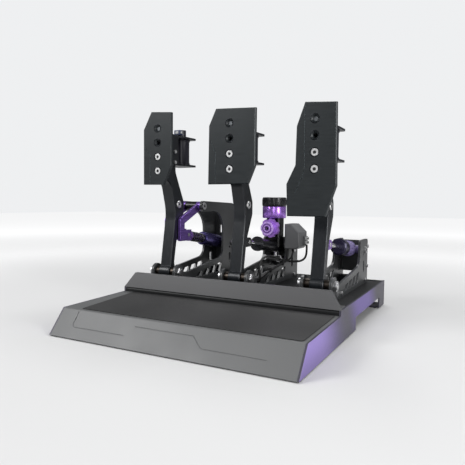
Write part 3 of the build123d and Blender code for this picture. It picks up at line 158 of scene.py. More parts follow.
class Finish(Network):
    def __init__(self, name, **values):
        self.material = bpy.data.materials.new(name)
        self.material.use_nodes = True
        super().__init__(self.material.node_tree)
        self.shader = self.tree.nodes["Principled BSDF"]
        for socket, value in values.items():
            self.put(socket.replace("_", " "), value)

    def put(self, name, value):
        self.feed(self.shader.inputs[name], value)

    def colour(self):
        return Shade(self, self.shader.inputs["Base Color"].links[0].from_socket)

    def place(self, scale=(1, 1, 1)):
        spot = self.add("ShaderNodeTexCoord", output="Object")
        return self.add("ShaderNodeMapping", None, {"Vector": spot, "Scale": scale})

    def axis(self, name):
        spot = self.add("ShaderNodeTexCoord", output="Object")
        return self.add("ShaderNodeSeparateXYZ", None, {0: spot}, name)

    def noise(self, scale, detail=2.0, stretch=(1, 1, 1)):
        values = {"Vector": self.place(stretch), "Scale": scale, "Detail": detail}
        return self.add("ShaderNodeTexNoise", {"noise_dimensions": "3D"}, values)

    def cells(self, scale):
        return self.add("ShaderNodeTexVoronoi", None, {"Vector": self.place(), "Scale": scale})

    def mix(self, mask, first, second):
        values = {0: mask, 6: first, 7: second}
        return self.add("ShaderNodeMix", {"data_type": "RGBA"}, values, 2)

    def soft_normal(self, radius):
        return self.add("ShaderNodeBevel", {"samples": 4}, {"Radius": radius})

    def edge(self, radius, low=0.02, high=0.25):
        true_normal = self.add("ShaderNodeNewGeometry", output="Normal")
        values = {0: self.soft_normal(radius), 1: true_normal}
        facing = self.add("ShaderNodeVectorMath", {"operation": "DOT_PRODUCT"}, values, "Value")
        return (1.0 - facing).step(low, high)

    def bump(self, height, strength, distance, edge_radius=0.0004):
        values = {"Height": height, "Strength": strength, "Distance": distance}
        values["Normal"] = self.soft_normal(edge_radius)
        self.put("Normal", self.add("ShaderNodeBump", None, values))


def grey(level, tint=(1.0, 1.0, 1.0)):
    return tuple(level * part for part in tint) + (1.0,)


finishes = {}


def paint(finish, *names):
    for name in names:
        slots = nodes[name].data.materials
        slots.clear()
        slots.append(finish.material)
        finishes[name] = finish
    print(finish.material.name, "is on", ", ".join(names))


# %% [markdown]
# Powder coat is melted plastic dust: matt to satin, with a fine orange peel that shows
# only as broken highlights. A picture of a coat would have to be unwrapped and would
# repeat. Two noises do neither: one is the peel and a larger one the slight drift in
# tone. The edges are painted a little lighter: a painted highlight for the light they catch.

# %% Powder coat
def powder_coat(name, level, tint=(1.0, 1.0, 1.0), gloss=0.42, edge_lift=1.8, peel=1300.0):
    coat = Finish(name, Metallic=0.0, Specular_IOR_Level=0.5)
    drift = coat.noise(14.0, 3.0)
    speck = coat.noise(peel, 2.0)
    tone = drift.spread(0.94, 1.06) * speck.spread(0.93, 1.07)
    # A thin band on each edge, painted lighter by edge_lift: a painted highlight.
    edge_highlight = coat.edge(0.0006)
    dark = coat.mix(tone - 0.5, grey(level * 0.9, tint), grey(level * 1.1, tint))
    coat.put("Base Color", coat.mix(edge_highlight * 0.8, dark, grey(level * edge_lift, tint)))
    coat.put("Roughness", drift.spread(gloss - 0.03, gloss + 0.05) + speck * 0.08)
    coat.bump(speck, 0.25, 0.0002, 0.0007)
    return coat


cool = (0.96, 1.0, 1.04)
# The heel plate, fascia, deck and side plates are one black powder coat at levels that copy how the light
# falls: the heel plate and fascia lighter, as painted light, the deck darker, as painted shade, and the side
# plates lifted a little, as painted light.
lit_heel_coat = powder_coat("lit_heel_coat", 0.118, (0.98, 1.0, 1.01), 0.44)
shaded_deck_coat = powder_coat("shaded_deck_coat", 0.012, cool, 0.38, 5.0)
fascia_coat = powder_coat("fascia_coat", 0.078, (1.0, 1.0, 1.04), 0.4)
frame_coat = powder_coat("frame_coat", 0.04, cool, 0.3, 8.0)
shaded_deck_coat.put("Specular IOR Level", 0.2)
paint(lit_heel_coat, "heel_plate")
paint(shaded_deck_coat, "pedal_deck", "mid_rail")
paint(fascia_coat, "fascia")
modules = ("clutch", "brake", "throttle")
plates = ("side_plate_left", "side_plate_right", "rear_plate")
for module in modules:
    paint(frame_coat, *[f"{module}_{plate}" for plate in plates])
print("powder coated:", len(finishes))

# %% [markdown]
# The side panels are coated dark and printed with a purple that fades out twice: once
# behind the front corner and once towards the rear foot. The fade follows the panel's
# length, so it is a formula on the Y coordinate, broken up by a fine grain. Only faces
# that point outwards are printed.

# %% Side panels
plum = (1.0, 0.93, 1.32)
front_fade = (-0.155, -0.03)
rear_rise = (-0.03, 0.04)
rear_fall = (0.09, 0.165)
fade_lean = 0.6
fade_level = 0.02
grain_blur = 0.006
front_purple = (0.26, 0.19, 0.5, 1.0)
rear_purple = (0.125, 0.085, 0.29, 1.0)


def faded_panel(name):
    panel = Finish(name, Specular_IOR_Level=0.35)
    y = panel.axis("Y")
    z = panel.axis("Z")
    lean = y + (z - fade_level) * fade_lean
    grain = panel.noise(900.0, 2.0)
    soft = lean + (grain - 0.5) * grain_blur
    front = 1.0 - soft.step(*front_fade)
    rear = soft.step(*rear_rise) * (1.0 - soft.step(*rear_fall))
    true_normal = panel.add("ShaderNodeNewGeometry", output="True Normal")
    outward = panel.add("ShaderNodeSeparateXYZ", None, {0: true_normal}, "X")
    outer = abs(outward).step(0.7, 0.9)
    purple = (front + rear) * z.step(0.0, 0.03, 0.6, 1.0) * outer
    tint = panel.mix(soft.step(-0.14, -0.04), front_purple, rear_purple)
    base = panel.mix(panel.noise(16.0).spread(), grey(0.045, plum), grey(0.056, plum))
    colour = panel.mix(purple, base, tint)
    # A thin band on each edge is painted pale: a painted highlight.
    edge_highlight = panel.edge(0.0007) * 0.6
    panel.put("Base Color", panel.mix(edge_highlight, colour, grey(0.26, (1.0, 0.98, 1.1))))
    panel.put("Roughness", grain.step(0.2, 0.8, 0.36, 0.46))
    panel.bump(grain, 0.25, 0.0002, 0.0008)
    return panel


paint(faded_panel("faded_panel"), "side_panel_left", "side_panel_right")

# %% [markdown]
# The heels rest on a thin rubber sheet with a fine pebble grain. Pebbles of real faces
# would number in the tens of thousands, so the cells of a Voronoi pattern, a millimetre
# across, shade the sheet and bend its normals instead. A broad noise leaves it a little
# smoother in places, as shoes do.

# %% Grip sheet and other rubber
def pebbled_rubber(name, level, size, strength):
    rubber = Finish(name, Specular_IOR_Level=0.35)
    pebble = rubber.cells(size)
    drift = rubber.noise(9.0, 3.0)
    tone = rubber.mix(drift.spread(), grey(level * 0.85), grey(level * 1.15, (1.0, 1.0, 1.02)))
    rubber.put("Base Color", rubber.mix(pebble.step(0.0, 0.9) * 0.35, tone, grey(level * 0.5)))
    rubber.put("Roughness", drift.spread(0.5, 0.62))
    rubber.bump(1.0 - pebble, strength, 0.0003, 0.0005)
    return rubber


grip = pebbled_rubber("grip_sheet", 0.036, 1100.0, 0.3)
soft_black = pebbled_rubber("soft_black", 0.018, 2400.0, 0.15)
paint(grip, "heel_mat")
paint(soft_black, "rubber_feet", "stop_sleeves")

# %% [markdown]
# Anodised aluminium keeps the metal's shine under a tinted skin, so it is metallic with
# a coloured base. The tools leave fine lines. A wave pattern would be too regular for
# them, so they are a noise stretched along one axis, and the rings on the upright barrel
# are a noise pressed flat along its axis.

# %% Anodised aluminium
def anodised(name, colour, gloss, stretch, metal=0.85, edge_lift=1.5, lines=900.0, strength=0.12):
    skin = Finish(name, Metallic=metal)
    line = skin.noise(lines, 3.0, stretch)
    drift = skin.noise(22.0, 2.0)
    deep = tuple(part * 0.82 for part in colour) + (1.0,)
    bright = tuple(min(1.0, part * 1.14) for part in colour) + (1.0,)
    # The edges are painted lighter by edge_lift: a painted highlight.
    highlight_rim = tuple(min(1.0, part * edge_lift + 0.02) for part in colour) + (1.0,)
    tone = skin.mix(line.spread() * 0.6 + drift * 0.4, deep, bright)
    skin.put("Base Color", skin.mix(skin.edge(0.0005) * 0.8, tone, highlight_rim))
    skin.put("Roughness", line.step(0.25, 0.75, gloss - 0.05, gloss + 0.06))
    skin.bump(line, strength, 0.0001, 0.0006)
    return skin


along_x = (0.04, 1.0, 1.0)
along_y = (1.0, 0.04, 1.0)
along_z = (1.0, 1.0, 0.04)
arm_skin = anodised("arm_skin", (0.011, 0.013, 0.016), 0.34, along_z, 0.3, 7.0)
foot_skin = anodised("foot_skin", (0.013, 0.0165, 0.0185), 0.4, along_x, 0.25, 9.0)
cage_skin = anodised("cage_skin", (0.016, 0.018, 0.022), 0.34, along_x, 0.4, 4.0)
purple_milled = anodised("purple_milled", (0.3, 0.15, 0.58), 0.3, along_y, 0.75, 2.2)
purple_turned = anodised("purple_turned", (0.42, 0.21, 0.74), 0.27, (1, 1, 6), 0.8, 1.8, 300.0, 0.02)
indigo_turned = anodised("indigo_turned", (0.075, 0.06, 0.2), 0.27, along_y, 0.8, 2.0)
cylinder_skin = anodised("cylinder_skin", (0.02, 0.02, 0.024), 0.28, along_y, 0.6, 3.0)
for module in modules:
    paint(arm_skin, f"{module}_arm")
    paint(foot_skin, f"{module}_foot_plate")
    paint(cage_skin, f"{module}_motor_cage")
paint(cage_skin, "floor_blocks")
paint(purple_milled, "clutch_rod", "throttle_clevis")
paint(indigo_turned, "clutch_damper")
paint(cylinder_skin, "brake_cylinder", "brake_clevis")

# %% [markdown]
# The clutch's rocker is purple, but its hub turns on a black sleeve. The sleeve is part
# of the same solid, so it is a mask: what lies near the hanger's axis and between the
# two cheeks is dark.

# %% Rocker with its dark sleeve
milled_purple = (0.2, 0.11, 0.42)
module_x = {"clutch": -128.0, "brake": 0.0, "throttle": 128.0}
hanger_pin = Vector((module_x["clutch"], 62.0, 171.6)) * mm
sleeve_half = 10.8 * mm
sleeve_radius = 8.2 * mm
cheek_blur = 0.4 * mm
sleeve_blur = 0.6 * mm
rocker_skin = anodised("rocker_skin", milled_purple, 0.3, along_y, 0.75, 2.2)
across = rocker_skin.axis("X") - hanger_pin.x
off_y = rocker_skin.axis("Y") - hanger_pin.y
off_z = rocker_skin.axis("Z") - hanger_pin.z
from_axis = off_y * off_y + off_z * off_z
past_cheek = abs(across).step(sleeve_half, sleeve_half + cheek_blur)
past_sleeve = from_axis.step(sleeve_radius ** 2, (sleeve_radius + sleeve_blur) ** 2)
sleeve = (1.0 - past_cheek) * (1.0 - past_sleeve)
rocker_skin.put("Base Color", rocker_skin.mix(sleeve, rocker_skin.colour(), grey(0.02)))
paint(rocker_skin, "clutch_rocker")

# %% [markdown]
# The brake's reservoir is purple above its collar and black below it, where it sits on
# the cylinder. The knob's face is turned in steps: its raised rings are painted pale, a
# painted highlight, and the grooves deep purple, a painted shade, round a dimple painted
# black, the painted shade of its hole. Each is one solid with one finish, so a mask parts
# the colours: on the height, or on the distance from the knob's axis.

# %% Reservoir and knob
def beyond(distance, radius, blur=0.15):
    return distance.step((radius - blur) * mm, (radius + blur) * mm)


bright_purple = (0.42, 0.21, 0.74)
collar_height = 151.3
reservoir_skin = anodised("reservoir_skin", bright_purple, 0.24, along_z, 0.8, 1.8)
above_collar = beyond(reservoir_skin.axis("Z"), collar_height, 0.1)
reservoir_skin.put("Base Color", reservoir_skin.mix(above_collar, grey(0.012), reservoir_skin.colour()))
paint(reservoir_skin, "brake_reservoir")

knob_height = 134.6
step_depth = 2.4
dimple_radius = 2.85
ring_start = 4.45
ring_end = 6.05
face_rim = 8.5
groove_shade_violet = (0.17, 0.06, 0.36, 1.0)
ring_highlight_violet = (0.68, 0.44, 0.98, 1.0)
violet = (0.36, 0.16, 0.66, 1.0)
bright_violet = (0.5, 0.26, 0.82, 1.0)
knob_skin = Finish("knob_skin", Metallic=0.45)
knob_up = knob_skin.axis("Z") - knob_height * mm
knob_side = knob_skin.axis("X")
reach = (knob_up * knob_up + knob_side * knob_side) ** 0.5
knob_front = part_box("brake_knob")[0].y / mm
on_face = 1.0 - beyond(knob_skin.axis("Y"), knob_front + step_depth, 0.2)
middle_ring = beyond(reach, ring_start) * (1.0 - beyond(reach, ring_end))
# The pale rings are painted highlight; the deep purple between them is painted shade.
ring_highlight_mask = middle_ring + beyond(reach, face_rim, 0.2)
turned_line = knob_skin.noise(900.0, 3.0, along_y)
face_colour = knob_skin.mix(ring_highlight_mask, groove_shade_violet, ring_highlight_violet)
body_colour = knob_skin.mix(turned_line.spread(), violet, bright_violet)
knob_colour = knob_skin.mix(on_face, body_colour, face_colour)
# The dimple is painted black: painted shade of the hole at the knob's centre.
dimple = 1.0 - beyond(reach, dimple_radius)
knob_colour = knob_skin.mix(dimple, knob_colour, grey(0.004))
# A thin band on each edge is painted pale lilac: a painted highlight.
knob_edge_highlight = knob_skin.edge(0.0005) * 0.7
knob_skin.put("Base Color", knob_skin.mix(knob_edge_highlight, knob_colour, (0.8, 0.6, 1.0, 1.0)))
knob_skin.put("Roughness", turned_line.step(0.25, 0.75, 0.24, 0.34))
knob_skin.bump(turned_line, 0.12, 0.0001, 0.0006)
paint(knob_skin, "brake_knob")

# %% [markdown]
# The throttle's damper has a black ring at its front, a pale purple barrel and a dark
# band at its rear end. The barrel's lilac is partly its own colour and partly painted
# highlight, set pale to stand in for the broad line of light along it. It is one turned
# solid, so the bands are masks on the share of its length that lies in front of a point.

# %% Banded damper
def banded(name, start, end, pale, dark, front_share, rear_share):
    skin = Finish(name, Metallic=0.45)
    line = skin.noise(900.0, 3.0, along_y)
    along = (skin.axis("Y") - start) / (end - start)
    blur = 0.01
    past_front = along.step(front_share - blur, front_share + blur)
    past_rear = along.step(rear_share - blur, rear_share + blur)
    band = past_front * (1.0 - past_rear)
    colour = skin.mix(band, dark + (1.0,), pale + (1.0,))
    # A thin band on each edge is painted pale: a painted highlight.
    skin.put("Base Color", skin.mix(skin.edge(0.0005) * 0.5, colour, grey(0.5, (0.95, 0.9, 1.1))))
    skin.put("Roughness", line.step(0.25, 0.75, 0.24, 0.34))
    skin.bump(line, 0.12, 0.0001, 0.0006)
    return skin


damper_low, damper_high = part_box("throttle_damper")
print("throttle damper from", damper_low.y, "to", damper_high.y)
# The barrel's pale lilac is partly its own colour and partly painted highlight.
lilac_and_highlight = (0.3, 0.25, 0.5)
ink = (0.014, 0.011, 0.035)
front_ring = 0.27
rear_band = 0.86
banded_damper = banded(
    "banded_damper", damper_low.y, damper_high.y, lilac_and_highlight, ink, front_ring, rear_band,
)
paint(banded_damper, "throttle_damper")

# %% [markdown]
# Screws, pins and rods are bare steel. Zinc plating is a soft grey, and the rods are hard
# chrome, which is nearly a mirror. A metal shows little but what it reflects, so one
# function makes them all, and they differ in tone, in roughness and in their fine grain.

# %% Steel and chrome
def bare_metal(name, colour, gloss, stretch, strength=0.1):
    metal = Finish(name, Metallic=1.0)
    line = metal.noise(1200.0, 3.0, stretch)
    spot = metal.noise(60.0, 3.0)
    dull = tuple(part * 0.8 for part in colour) + (1.0,)
    metal.put("Base Color", metal.mix(spot.step(0.35, 0.7), colour + (1.0,), dull))
    metal.put("Roughness", line.step(0.25, 0.75, gloss - 0.04, gloss + 0.06) + spot * 0.05)
    metal.bump(line, strength, 0.0001, 0.0003)
    return metal


zinc = bare_metal("zinc", (0.6, 0.6, 0.61), 0.3, (1, 1, 1))
screw_chrome = bare_metal("screw_chrome", (0.9, 0.9, 0.9), 0.34, (1, 1, 1), 0.05)
rod_chrome = bare_metal("rod_chrome", (0.85, 0.85, 0.87), 0.08, along_y, 0.04)
oiled_bronze = bare_metal("oiled_bronze", (0.05, 0.042, 0.036), 0.34, (1, 1, 1))
paint(zinc, "pivot_nuts", "cross_bolts", "base_screws", "stop_bars", "clutch_rocker_pin", "clutch_roller")
paint(zinc, "brake_pressure_sensor", "frame_screws")
paint(rod_chrome, "brake_push_rod", "throttle_rod")
for module in modules:
    paint(screw_chrome, f"{module}_arm_screws")
    paint(oiled_bronze, f"{module}_arm_bushes")

# %% [markdown]
# The motors, the reservoir's cap and the box of electronics are moulded plastic: a fine
# spark-eroded texture, no metal, and a soft sheen.

# %% Moulded plastic
def moulded(name, colour, gloss, strength=0.2):
    plastic = Finish(name, Specular_IOR_Level=0.45)
    grain = plastic.noise(2200.0, 2.0)
    drift = plastic.noise(30.0, 2.0)
    dark = tuple(part * 0.85 for part in colour) + (1.0,)
    plastic.put("Base Color", plastic.mix(drift.spread(), dark, colour + (1.0,)))
    plastic.put("Roughness", grain.spread(gloss - 0.04, gloss + 0.06))
    plastic.bump(grain, strength, 0.0001, 0.0005)
    return plastic


motor_case = moulded("motor_case", (0.018, 0.017, 0.026), 0.33)
cap_plastic = moulded("cap_plastic", (0.007, 0.007, 0.009), 0.26)
box_plastic = moulded("box_plastic", (0.11, 0.112, 0.115), 0.42)
paint(cap_plastic, "brake_reservoir_cap")
paint(box_plastic, "control_box")
for module in modules:
    paint(motor_case, f"{module}_haptic_motor")
unpainted = sorted(set(nodes) - set(finishes) - {"clutch_spring", "sensor_cables"})
print("nodes with no finish:", unpainted)

# %% [markdown]
# New pieces start in a bmesh. Each is finished as one object at the origin, with its
# place in its mesh, rides on a body and names the slot of its finish.

# %% Adding a piece
def add_piece(name, mesh, finish, body, smooth=True):
    bmesh.ops.remove_doubles(mesh, verts=mesh.verts, dist=1e-6)
    bmesh.ops.recalc_face_normals(mesh, faces=mesh.faces)
    data = bpy.data.meshes.new(name)
    mesh.to_mesh(data)
    mesh.free()
    for face in data.polygons:
        face.use_smooth = smooth
    data.materials.append(finish.material)
    piece = bpy.data.objects.new(name, data)
    bpy.context.collection.objects.link(piece)
    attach(piece, body)
    print(name, "has", len(data.polygons), "faces")
    return piece


# %% [markdown]
# The clutch's coil spring is a circle of wire carried round its axis while it climbs. A
# Screw modifier could do that too, but with one pitch only. Here the first and last turns
# lie closed, as on a spring that has been wound and ground, and the turns between them
# are open. The wire is enamelled black, so its finish is a glossy coat and not bare metal.

# %% Coil spring
def coil(start, climb_axis, radius, wire, stretches, steps_per_turn=28, wire_sides=12):
    mesh = bmesh.new()
    side = Vector((1, 0, 0))
    turned = Matrix((side, climb_axis, side.cross(climb_axis))).transposed().to_4x4()
    place = Matrix.Translation(start + side * radius) @ turned
    bmesh.ops.create_circle(mesh, segments=wire_sides, radius=wire / 2, matrix=place)
    ring = mesh.verts[:] + mesh.edges[:]
    for turns, pitch in stretches:
        steps = round(turns * steps_per_turn)
        climb = climb_axis * (pitch / steps_per_turn)
        angle = math.tau * steps / steps_per_turn
        made = bmesh.ops.spin(
            mesh, geom=ring, cent=start, axis=climb_axis, dvec=climb, angle=angle, steps=steps,
        )
        ring = made["geom_last"]
    bmesh.ops.holes_fill(mesh, edges=mesh.edges, sides=0)
    return mesh


rear_pin_y = 168.0
rear_heights = {"clutch": 101.0, "brake": 96.0, "throttle": 100.0}
rod_eye = Vector((module_x["clutch"], 26.0, 123.5)) * mm
rear_pin = Vector((module_x["clutch"], rear_pin_y, rear_heights["clutch"])) * mm
rod_line = (rear_pin - rod_eye).normalized()
coil_radius = 7.6 * mm
wire_width = 2.4 * mm
spring_start = 26.4 * mm
spring_end = 65.1 * mm
closed_pitch = 2.5 * mm
open_turns = 5.5
open_pitch = (spring_end - spring_start - 2 * closed_pitch) / open_turns
spring_steel = moulded("spring_steel", (0.022, 0.02, 0.03), 0.2, 0.03)
spring_steel.put("Specular IOR Level", 0.8)
stretches = [(1, closed_pitch), (open_turns, open_pitch), (1, closed_pitch)]
spring_foot = rod_eye + rod_line * spring_start
spring_mesh = coil(spring_foot, rod_line, coil_radius, wire_width, stretches)
spring = add_piece("coil_spring", spring_mesh, spring_steel, "clutch_damper")
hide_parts("clutch_spring")
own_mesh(spring)

# %% [markdown]
# Screw heads have sockets that lie in shade. A Boolean could cut them, but the solids are
# left alone, so a socket here is a thin black hexagon, painted shade, that sits on its
# head a tenth of a millimetre proud. The top hole of each foot plate holds a steel set
# screw, sunk a few millimetres. All four holes have a thin dark turned ring round them:
# a painted shadow in the countersink.

# %% Sockets and rings
def aimed(place, axis):
    return Matrix.Translation(place) @ Vector(axis).to_track_quat("Z", "X").to_matrix().to_4x4()


def discs(name, places, axis, radius, finish, body, corners=6, thick=0.2):
    mesh = bmesh.new()
    for place in places:
        frame_of_head = aimed(Vector(place) * mm, axis)
        bmesh.ops.create_cone(
            mesh, cap_ends=True, segments=corners, radius1=radius * mm, radius2=radius * mm,
            depth=thick * mm, matrix=frame_of_head,
        )
    return add_piece(name, mesh, finish, body, False)


def rings(name, places, axis, inner, outer, finish, body, rise=0.12, slope=0.1):
    mesh = bmesh.new()
    for place in places:
        frame_of_hole = aimed(Vector(place) * mm, axis)
        profile = [(inner, 0.0), (inner, rise), (outer - slope, rise), (outer, 0.0)]
        corners = [mesh.verts.new(frame_of_hole @ (Vector((along, 0, up)) * mm)) for along, up in profile]
        edges = [mesh.edges.new(pair) for pair in zip(corners, corners[1:])]
        bmesh.ops.spin(
            mesh, geom=corners + edges, cent=frame_of_hole.translation, axis=Vector(axis),
            angle=math.tau, steps=40, use_merge=True,
        )
    return add_piece(name, mesh, finish, body)


black_and_socket_shade = moulded("black_and_socket_shade", (0.006, 0.006, 0.007), 0.5)
countersink_shadow = bare_metal("countersink_shadow", (0.02, 0.021, 0.024), 0.3, (1, 1, 1))
set_screw_steel = bare_metal("set_screw_steel", (0.16, 0.17, 0.18), 0.4, (1, 1, 1))
hole_heights = {"clutch": 227.0, "brake": 226.5, "throttle": 223.5}
hole_pitch = 22.0
hole_count = 4
filled_holes = 2
plate_front = -40.0
head_sunk = 0.45
socket_radius = 2.5
ring_inner = 5.5
ring_outer = 6.7
set_screw_sunk = 4.0
set_screw_radius = 3.3
set_screw_thick = 1.6
knee_across = 11.5
knee_y = 4.5
knee_z = 174.6
knee_radius = 2.0
for module, x in module_x.items():
    arm = f"{module}_arm"
    heights = [hole_heights[module] + hole_pitch * number for number in range(hole_count)]
    filled = [(x, plate_front + head_sunk, height) for height in heights[:filled_holes]]
    # The black hexagons are painted shade in the screws' sockets.
    discs(f"{module}_foot_sockets", filled, (0, -1, 0), socket_radius, black_and_socket_shade, arm)
    every = [(x, plate_front, height) for height in heights]
    # The dark rings are painted shadow round the countersinks.
    rings(f"{module}_hole_ring_shadows", every, (0, -1, 0), ring_inner, ring_outer, countersink_shadow, arm)
    sunk = [(x, plate_front + set_screw_sunk, heights[-1])]
    discs(
        f"{module}_set_screw", sunk, (0, -1, 0), set_screw_radius, set_screw_steel, arm,
        corners=32, thick=set_screw_thick,
    )
    knee = [(x + knee_across, knee_y, knee_z)]
    # The black hexagon is painted shade in the knee bolt's socket.
    discs(f"{module}_knee_socket", knee, (1, 0, 0), knee_radius, black_and_socket_shade, arm)

# %% Pivot and pin sockets
pivot_across = -28.0
pivot_y = -14.0
pivot_z = 65.0
pivot_radius = 4.0
pin_sides = (-25.0, 25.0)
pin_radius = 2.6
# The black discs on the pivot and pin heads are painted shade of their sockets.
pivot_heads = [(x + pivot_across, pivot_y, pivot_z) for x in module_x.values()]
discs("pivot_sockets", pivot_heads, (-1, 0, 0), pivot_radius, black_and_socket_shade, "base")
pins = [(x, rear_pin_y, rear_heights[module]) for module, x in module_x.items()]
pins.append(tuple(hanger_pin / mm))
pin_heads = [(x + side, y, z) for x, y, z in pins for side in pin_sides]
discs("pin_sockets", pin_heads, (1, 0, 0), pin_radius, black_and_socket_shade, "base")

# %% [markdown]
# The captive cables leave the box on the brake's side plate. A tube of faces would be
# hard to reroute, so each is a round curve through a few listed points: out of its exit,
# down in an easy arc, and into the side plate square to its face.

# %% Cables
def cable(name, points, width, finish):
    data = bpy.data.curves.new(name, "CURVE")
    data.dimensions = "3D"
    data.bevel_depth = width / 2 * mm
    data.bevel_resolution = 5
    data.use_fill_caps = True
    line = data.splines.new("NURBS")
    line.points.add(len(points) - 1)
    for spot, point in zip(line.points, points):
        spot.co = (*[part * mm for part in point], 1.0)
    line.order_u = 4
    line.use_endpoint_u = True
    line.resolution_u = 14
    data.materials.append(finish.material)
    piece = bpy.data.objects.new(name, data)
    bpy.context.collection.objects.link(piece)
    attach(piece, "base")
    print(name, "runs through", len(points), "points")
    return piece


cable_skin = pebbled_rubber("cable_skin", 0.012, 1600.0, 0.1)
sensor_points = [
    (23.1, 12.0, 57.0), (29.0, 11.0, 57.0), (31.0, 2.0, 70.0), (30.0, 4.0, 90.0), (30.0, 24.0, 96.0),
    (30.0, 56.0, 92.0), (30.0, 92.0, 83.0), (31.0, 118.0, 78.0), (34.0, 131.0, 84.0), (35.0, 132.0, 98.9),
]
trunk_points = [
    (28.0, 124.0, 98.9), (28.0, 124.0, 88.0), (28.5, 119.0, 79.0), (29.0, 100.0, 76.5), (29.0, 74.0, 74.0),
    (28.5, 52.0, 71.0), (28.0, 30.0, 67.0), (27.0, 16.0, 62.5), (23.1, 14.0, 61.0),
]
box_points = [
    (52.3, 152.0, 105.0), (52.3, 153.0, 94.0), (51.0, 155.0, 82.0), (42.0, 152.0, 74.5),
    (32.0, 145.0, 74.5), (23.1, 142.0, 75.0),
]
sensor_width = 3.0
trunk_width = 4.0
box_width = 3.6
cable("sensor_cable", sensor_points, sensor_width, cable_skin)
trunk_cable = cable("trunk_cable", trunk_points, trunk_width, cable_skin)
cable("box_cable", box_points, box_width, cable_skin)
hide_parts("sensor_cables")

# %% [markdown]
# Small moulded parts: white plugs with dark pins on the box, the blue plug on top of each
# motor with its pale inserts, and the clips that hold the cables. Each is a cube that gets
# its size before its bevel, because a bevel that is scaled later is wider one way than
# the other.

# %% Plugs and clips
def block(mesh, middle, size, rounding):
    scale = Matrix.Diagonal((*[part * mm for part in size], 1.0))
    made = bmesh.ops.create_cube(mesh, size=1.0, matrix=Matrix.Translation(Vector(middle) * mm) @ scale)
    edges = {edge for vert in made["verts"] for edge in vert.link_edges}
    bmesh.ops.bevel(
        mesh, geom=list(edges), offset=rounding * mm, segments=2, affect="EDGES", profile=0.5, material=-1,
    )


white_plastic = moulded("white_plastic", (0.55, 0.56, 0.55), 0.4)
blue_plastic = moulded("blue_plastic", (0.035, 0.05, 0.12), 0.36)
plug_heights = (109.5, 116.5)
plug_size = (3.6, 11.0, 5.4)
plug_rounding = 0.6
plug_out = 54.2
plug_middle = 148.0
pin_size = (0.6, 1.2, 2.4)
pin_rounding = 0.15
pin_out = 56.1
first_pin = 144.0
pin_pitch = 2.6
pin_count = 4
plug_mesh = bmesh.new()
pin_mesh = bmesh.new()
for height in plug_heights:
    block(plug_mesh, (plug_out, plug_middle, height), plug_size, plug_rounding)
    for number in range(pin_count):
        block(pin_mesh, (pin_out, first_pin + pin_pitch * number, height), pin_size, pin_rounding)
add_piece("box_plugs", plug_mesh, white_plastic, "base", False)
add_piece("plug_pins", pin_mesh, black_and_socket_shade, "base", False)
clip_size = (7.0, 3.0, 8.0)
clip_rounding = 1.2
clip_places = ((28.5, 46.0, 71.3), (29.0, 96.0, 77.0))
clip_mesh = bmesh.new()
for place in clip_places:
    block(clip_mesh, place, clip_size, clip_rounding)
add_piece("cable_clips", clip_mesh, black_and_socket_shade, "base", False)

# %% Motor plugs
motor_plug_size = (12.0, 8.0, 8.0)
motor_plug_rounding = 0.8
plug_aside = 1.0
plug_forward = 9.0
plug_sunk = 4.6
front_insert = (6.0, 0.8, 4.0)
side_insert = (0.8, 5.0, 4.0)
insert_rounding = 0.3
insert_forward = 4.1
insert_aside = 6.1
for module in modules:
    low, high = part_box(f"{module}_haptic_motor")
    centre = (low + high) / 2 / mm
    plug_x = centre.x - plug_aside
    plug_y = centre.y - plug_forward
    plug_z = high.z / mm - plug_sunk
    plug = bmesh.new()
    block(plug, (plug_x, plug_y, plug_z), motor_plug_size, motor_plug_rounding)
    add_piece(f"{module}_motor_plug", plug, blue_plastic, f"{module}_arm", False)
    insert = bmesh.new()
    block(insert, (plug_x, plug_y - insert_forward, plug_z), front_insert, insert_rounding)
    block(insert, (plug_x + insert_aside, plug_y, plug_z), side_insert, insert_rounding)
    add_piece(f"{module}_plug_insert", insert, white_plastic, f"{module}_arm", False)

# %% [markdown]
# The reservoir's barrel and cap are turned forms: an outline carried once round the
# axis. Each outline starts just inside the solid's skin, so no gap shows. The cap has a
# fluted grip, one slim rounded rib copied round that axis.

# %% Barrel and cap
def lathe(name, foot, outline, finish, body, segments=96):
    mesh = bmesh.new()
    places = [Vector((foot.x + radius, foot.y, height)) * mm for radius, height in outline]
    corners = [mesh.verts.new(place) for place in places]
    edges = [mesh.edges.new(pair) for pair in zip(corners, corners[1:])]
    bmesh.ops.spin(
        mesh, geom=corners + edges, cent=Vector(foot) * mm, axis=(0, 0, 1), angle=math.tau,
        steps=segments, use_merge=True,
    )
    piece = add_piece(name, mesh, finish, body)
    for face in piece.data.polygons:
        face.use_smooth = abs(face.normal.z) < 0.9
    return piece


cap_low, cap_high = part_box("brake_reservoir_cap")
cap_middle = (cap_low + cap_high) / 2 / mm
cap_top = cap_high.z / mm
cap_height = 15.6
cap_foot = cap_top - cap_height
barrel_foot = 151.6
barrel_radius = 20.6
cap_radius = 21.0
skin_radius = 17.9
lid_top = cap_top + 0.2
near_axis = 0.01
low_in, low_up = 0.8, 1.0
high_in, high_down = 0.7, 0.9
lip_in, lip_up = 0.6, 0.8
crown_down, crown_in = 1.6, 1.6
brow_down, brow_in = 0.6, 0.5
barrel_outline = [
    (skin_radius, barrel_foot), (barrel_radius - low_in, barrel_foot), (barrel_radius, barrel_foot + low_up),
    (barrel_radius, cap_foot - high_down), (barrel_radius - high_in, cap_foot), (skin_radius, cap_foot),
]
cap_outline = [
    (skin_radius, cap_foot), (cap_radius - lip_in, cap_foot), (cap_radius, cap_foot + lip_up),
    (cap_radius, cap_top - crown_down), (cap_radius - brow_in, cap_top - brow_down),
    (cap_radius - crown_in, lid_top), (near_axis, lid_top),
]
lathe("reservoir_barrel", cap_middle, barrel_outline, purple_turned, "brake_cylinder")
lathe("cap_shell", cap_middle, cap_outline, cap_plastic, "brake_cylinder")

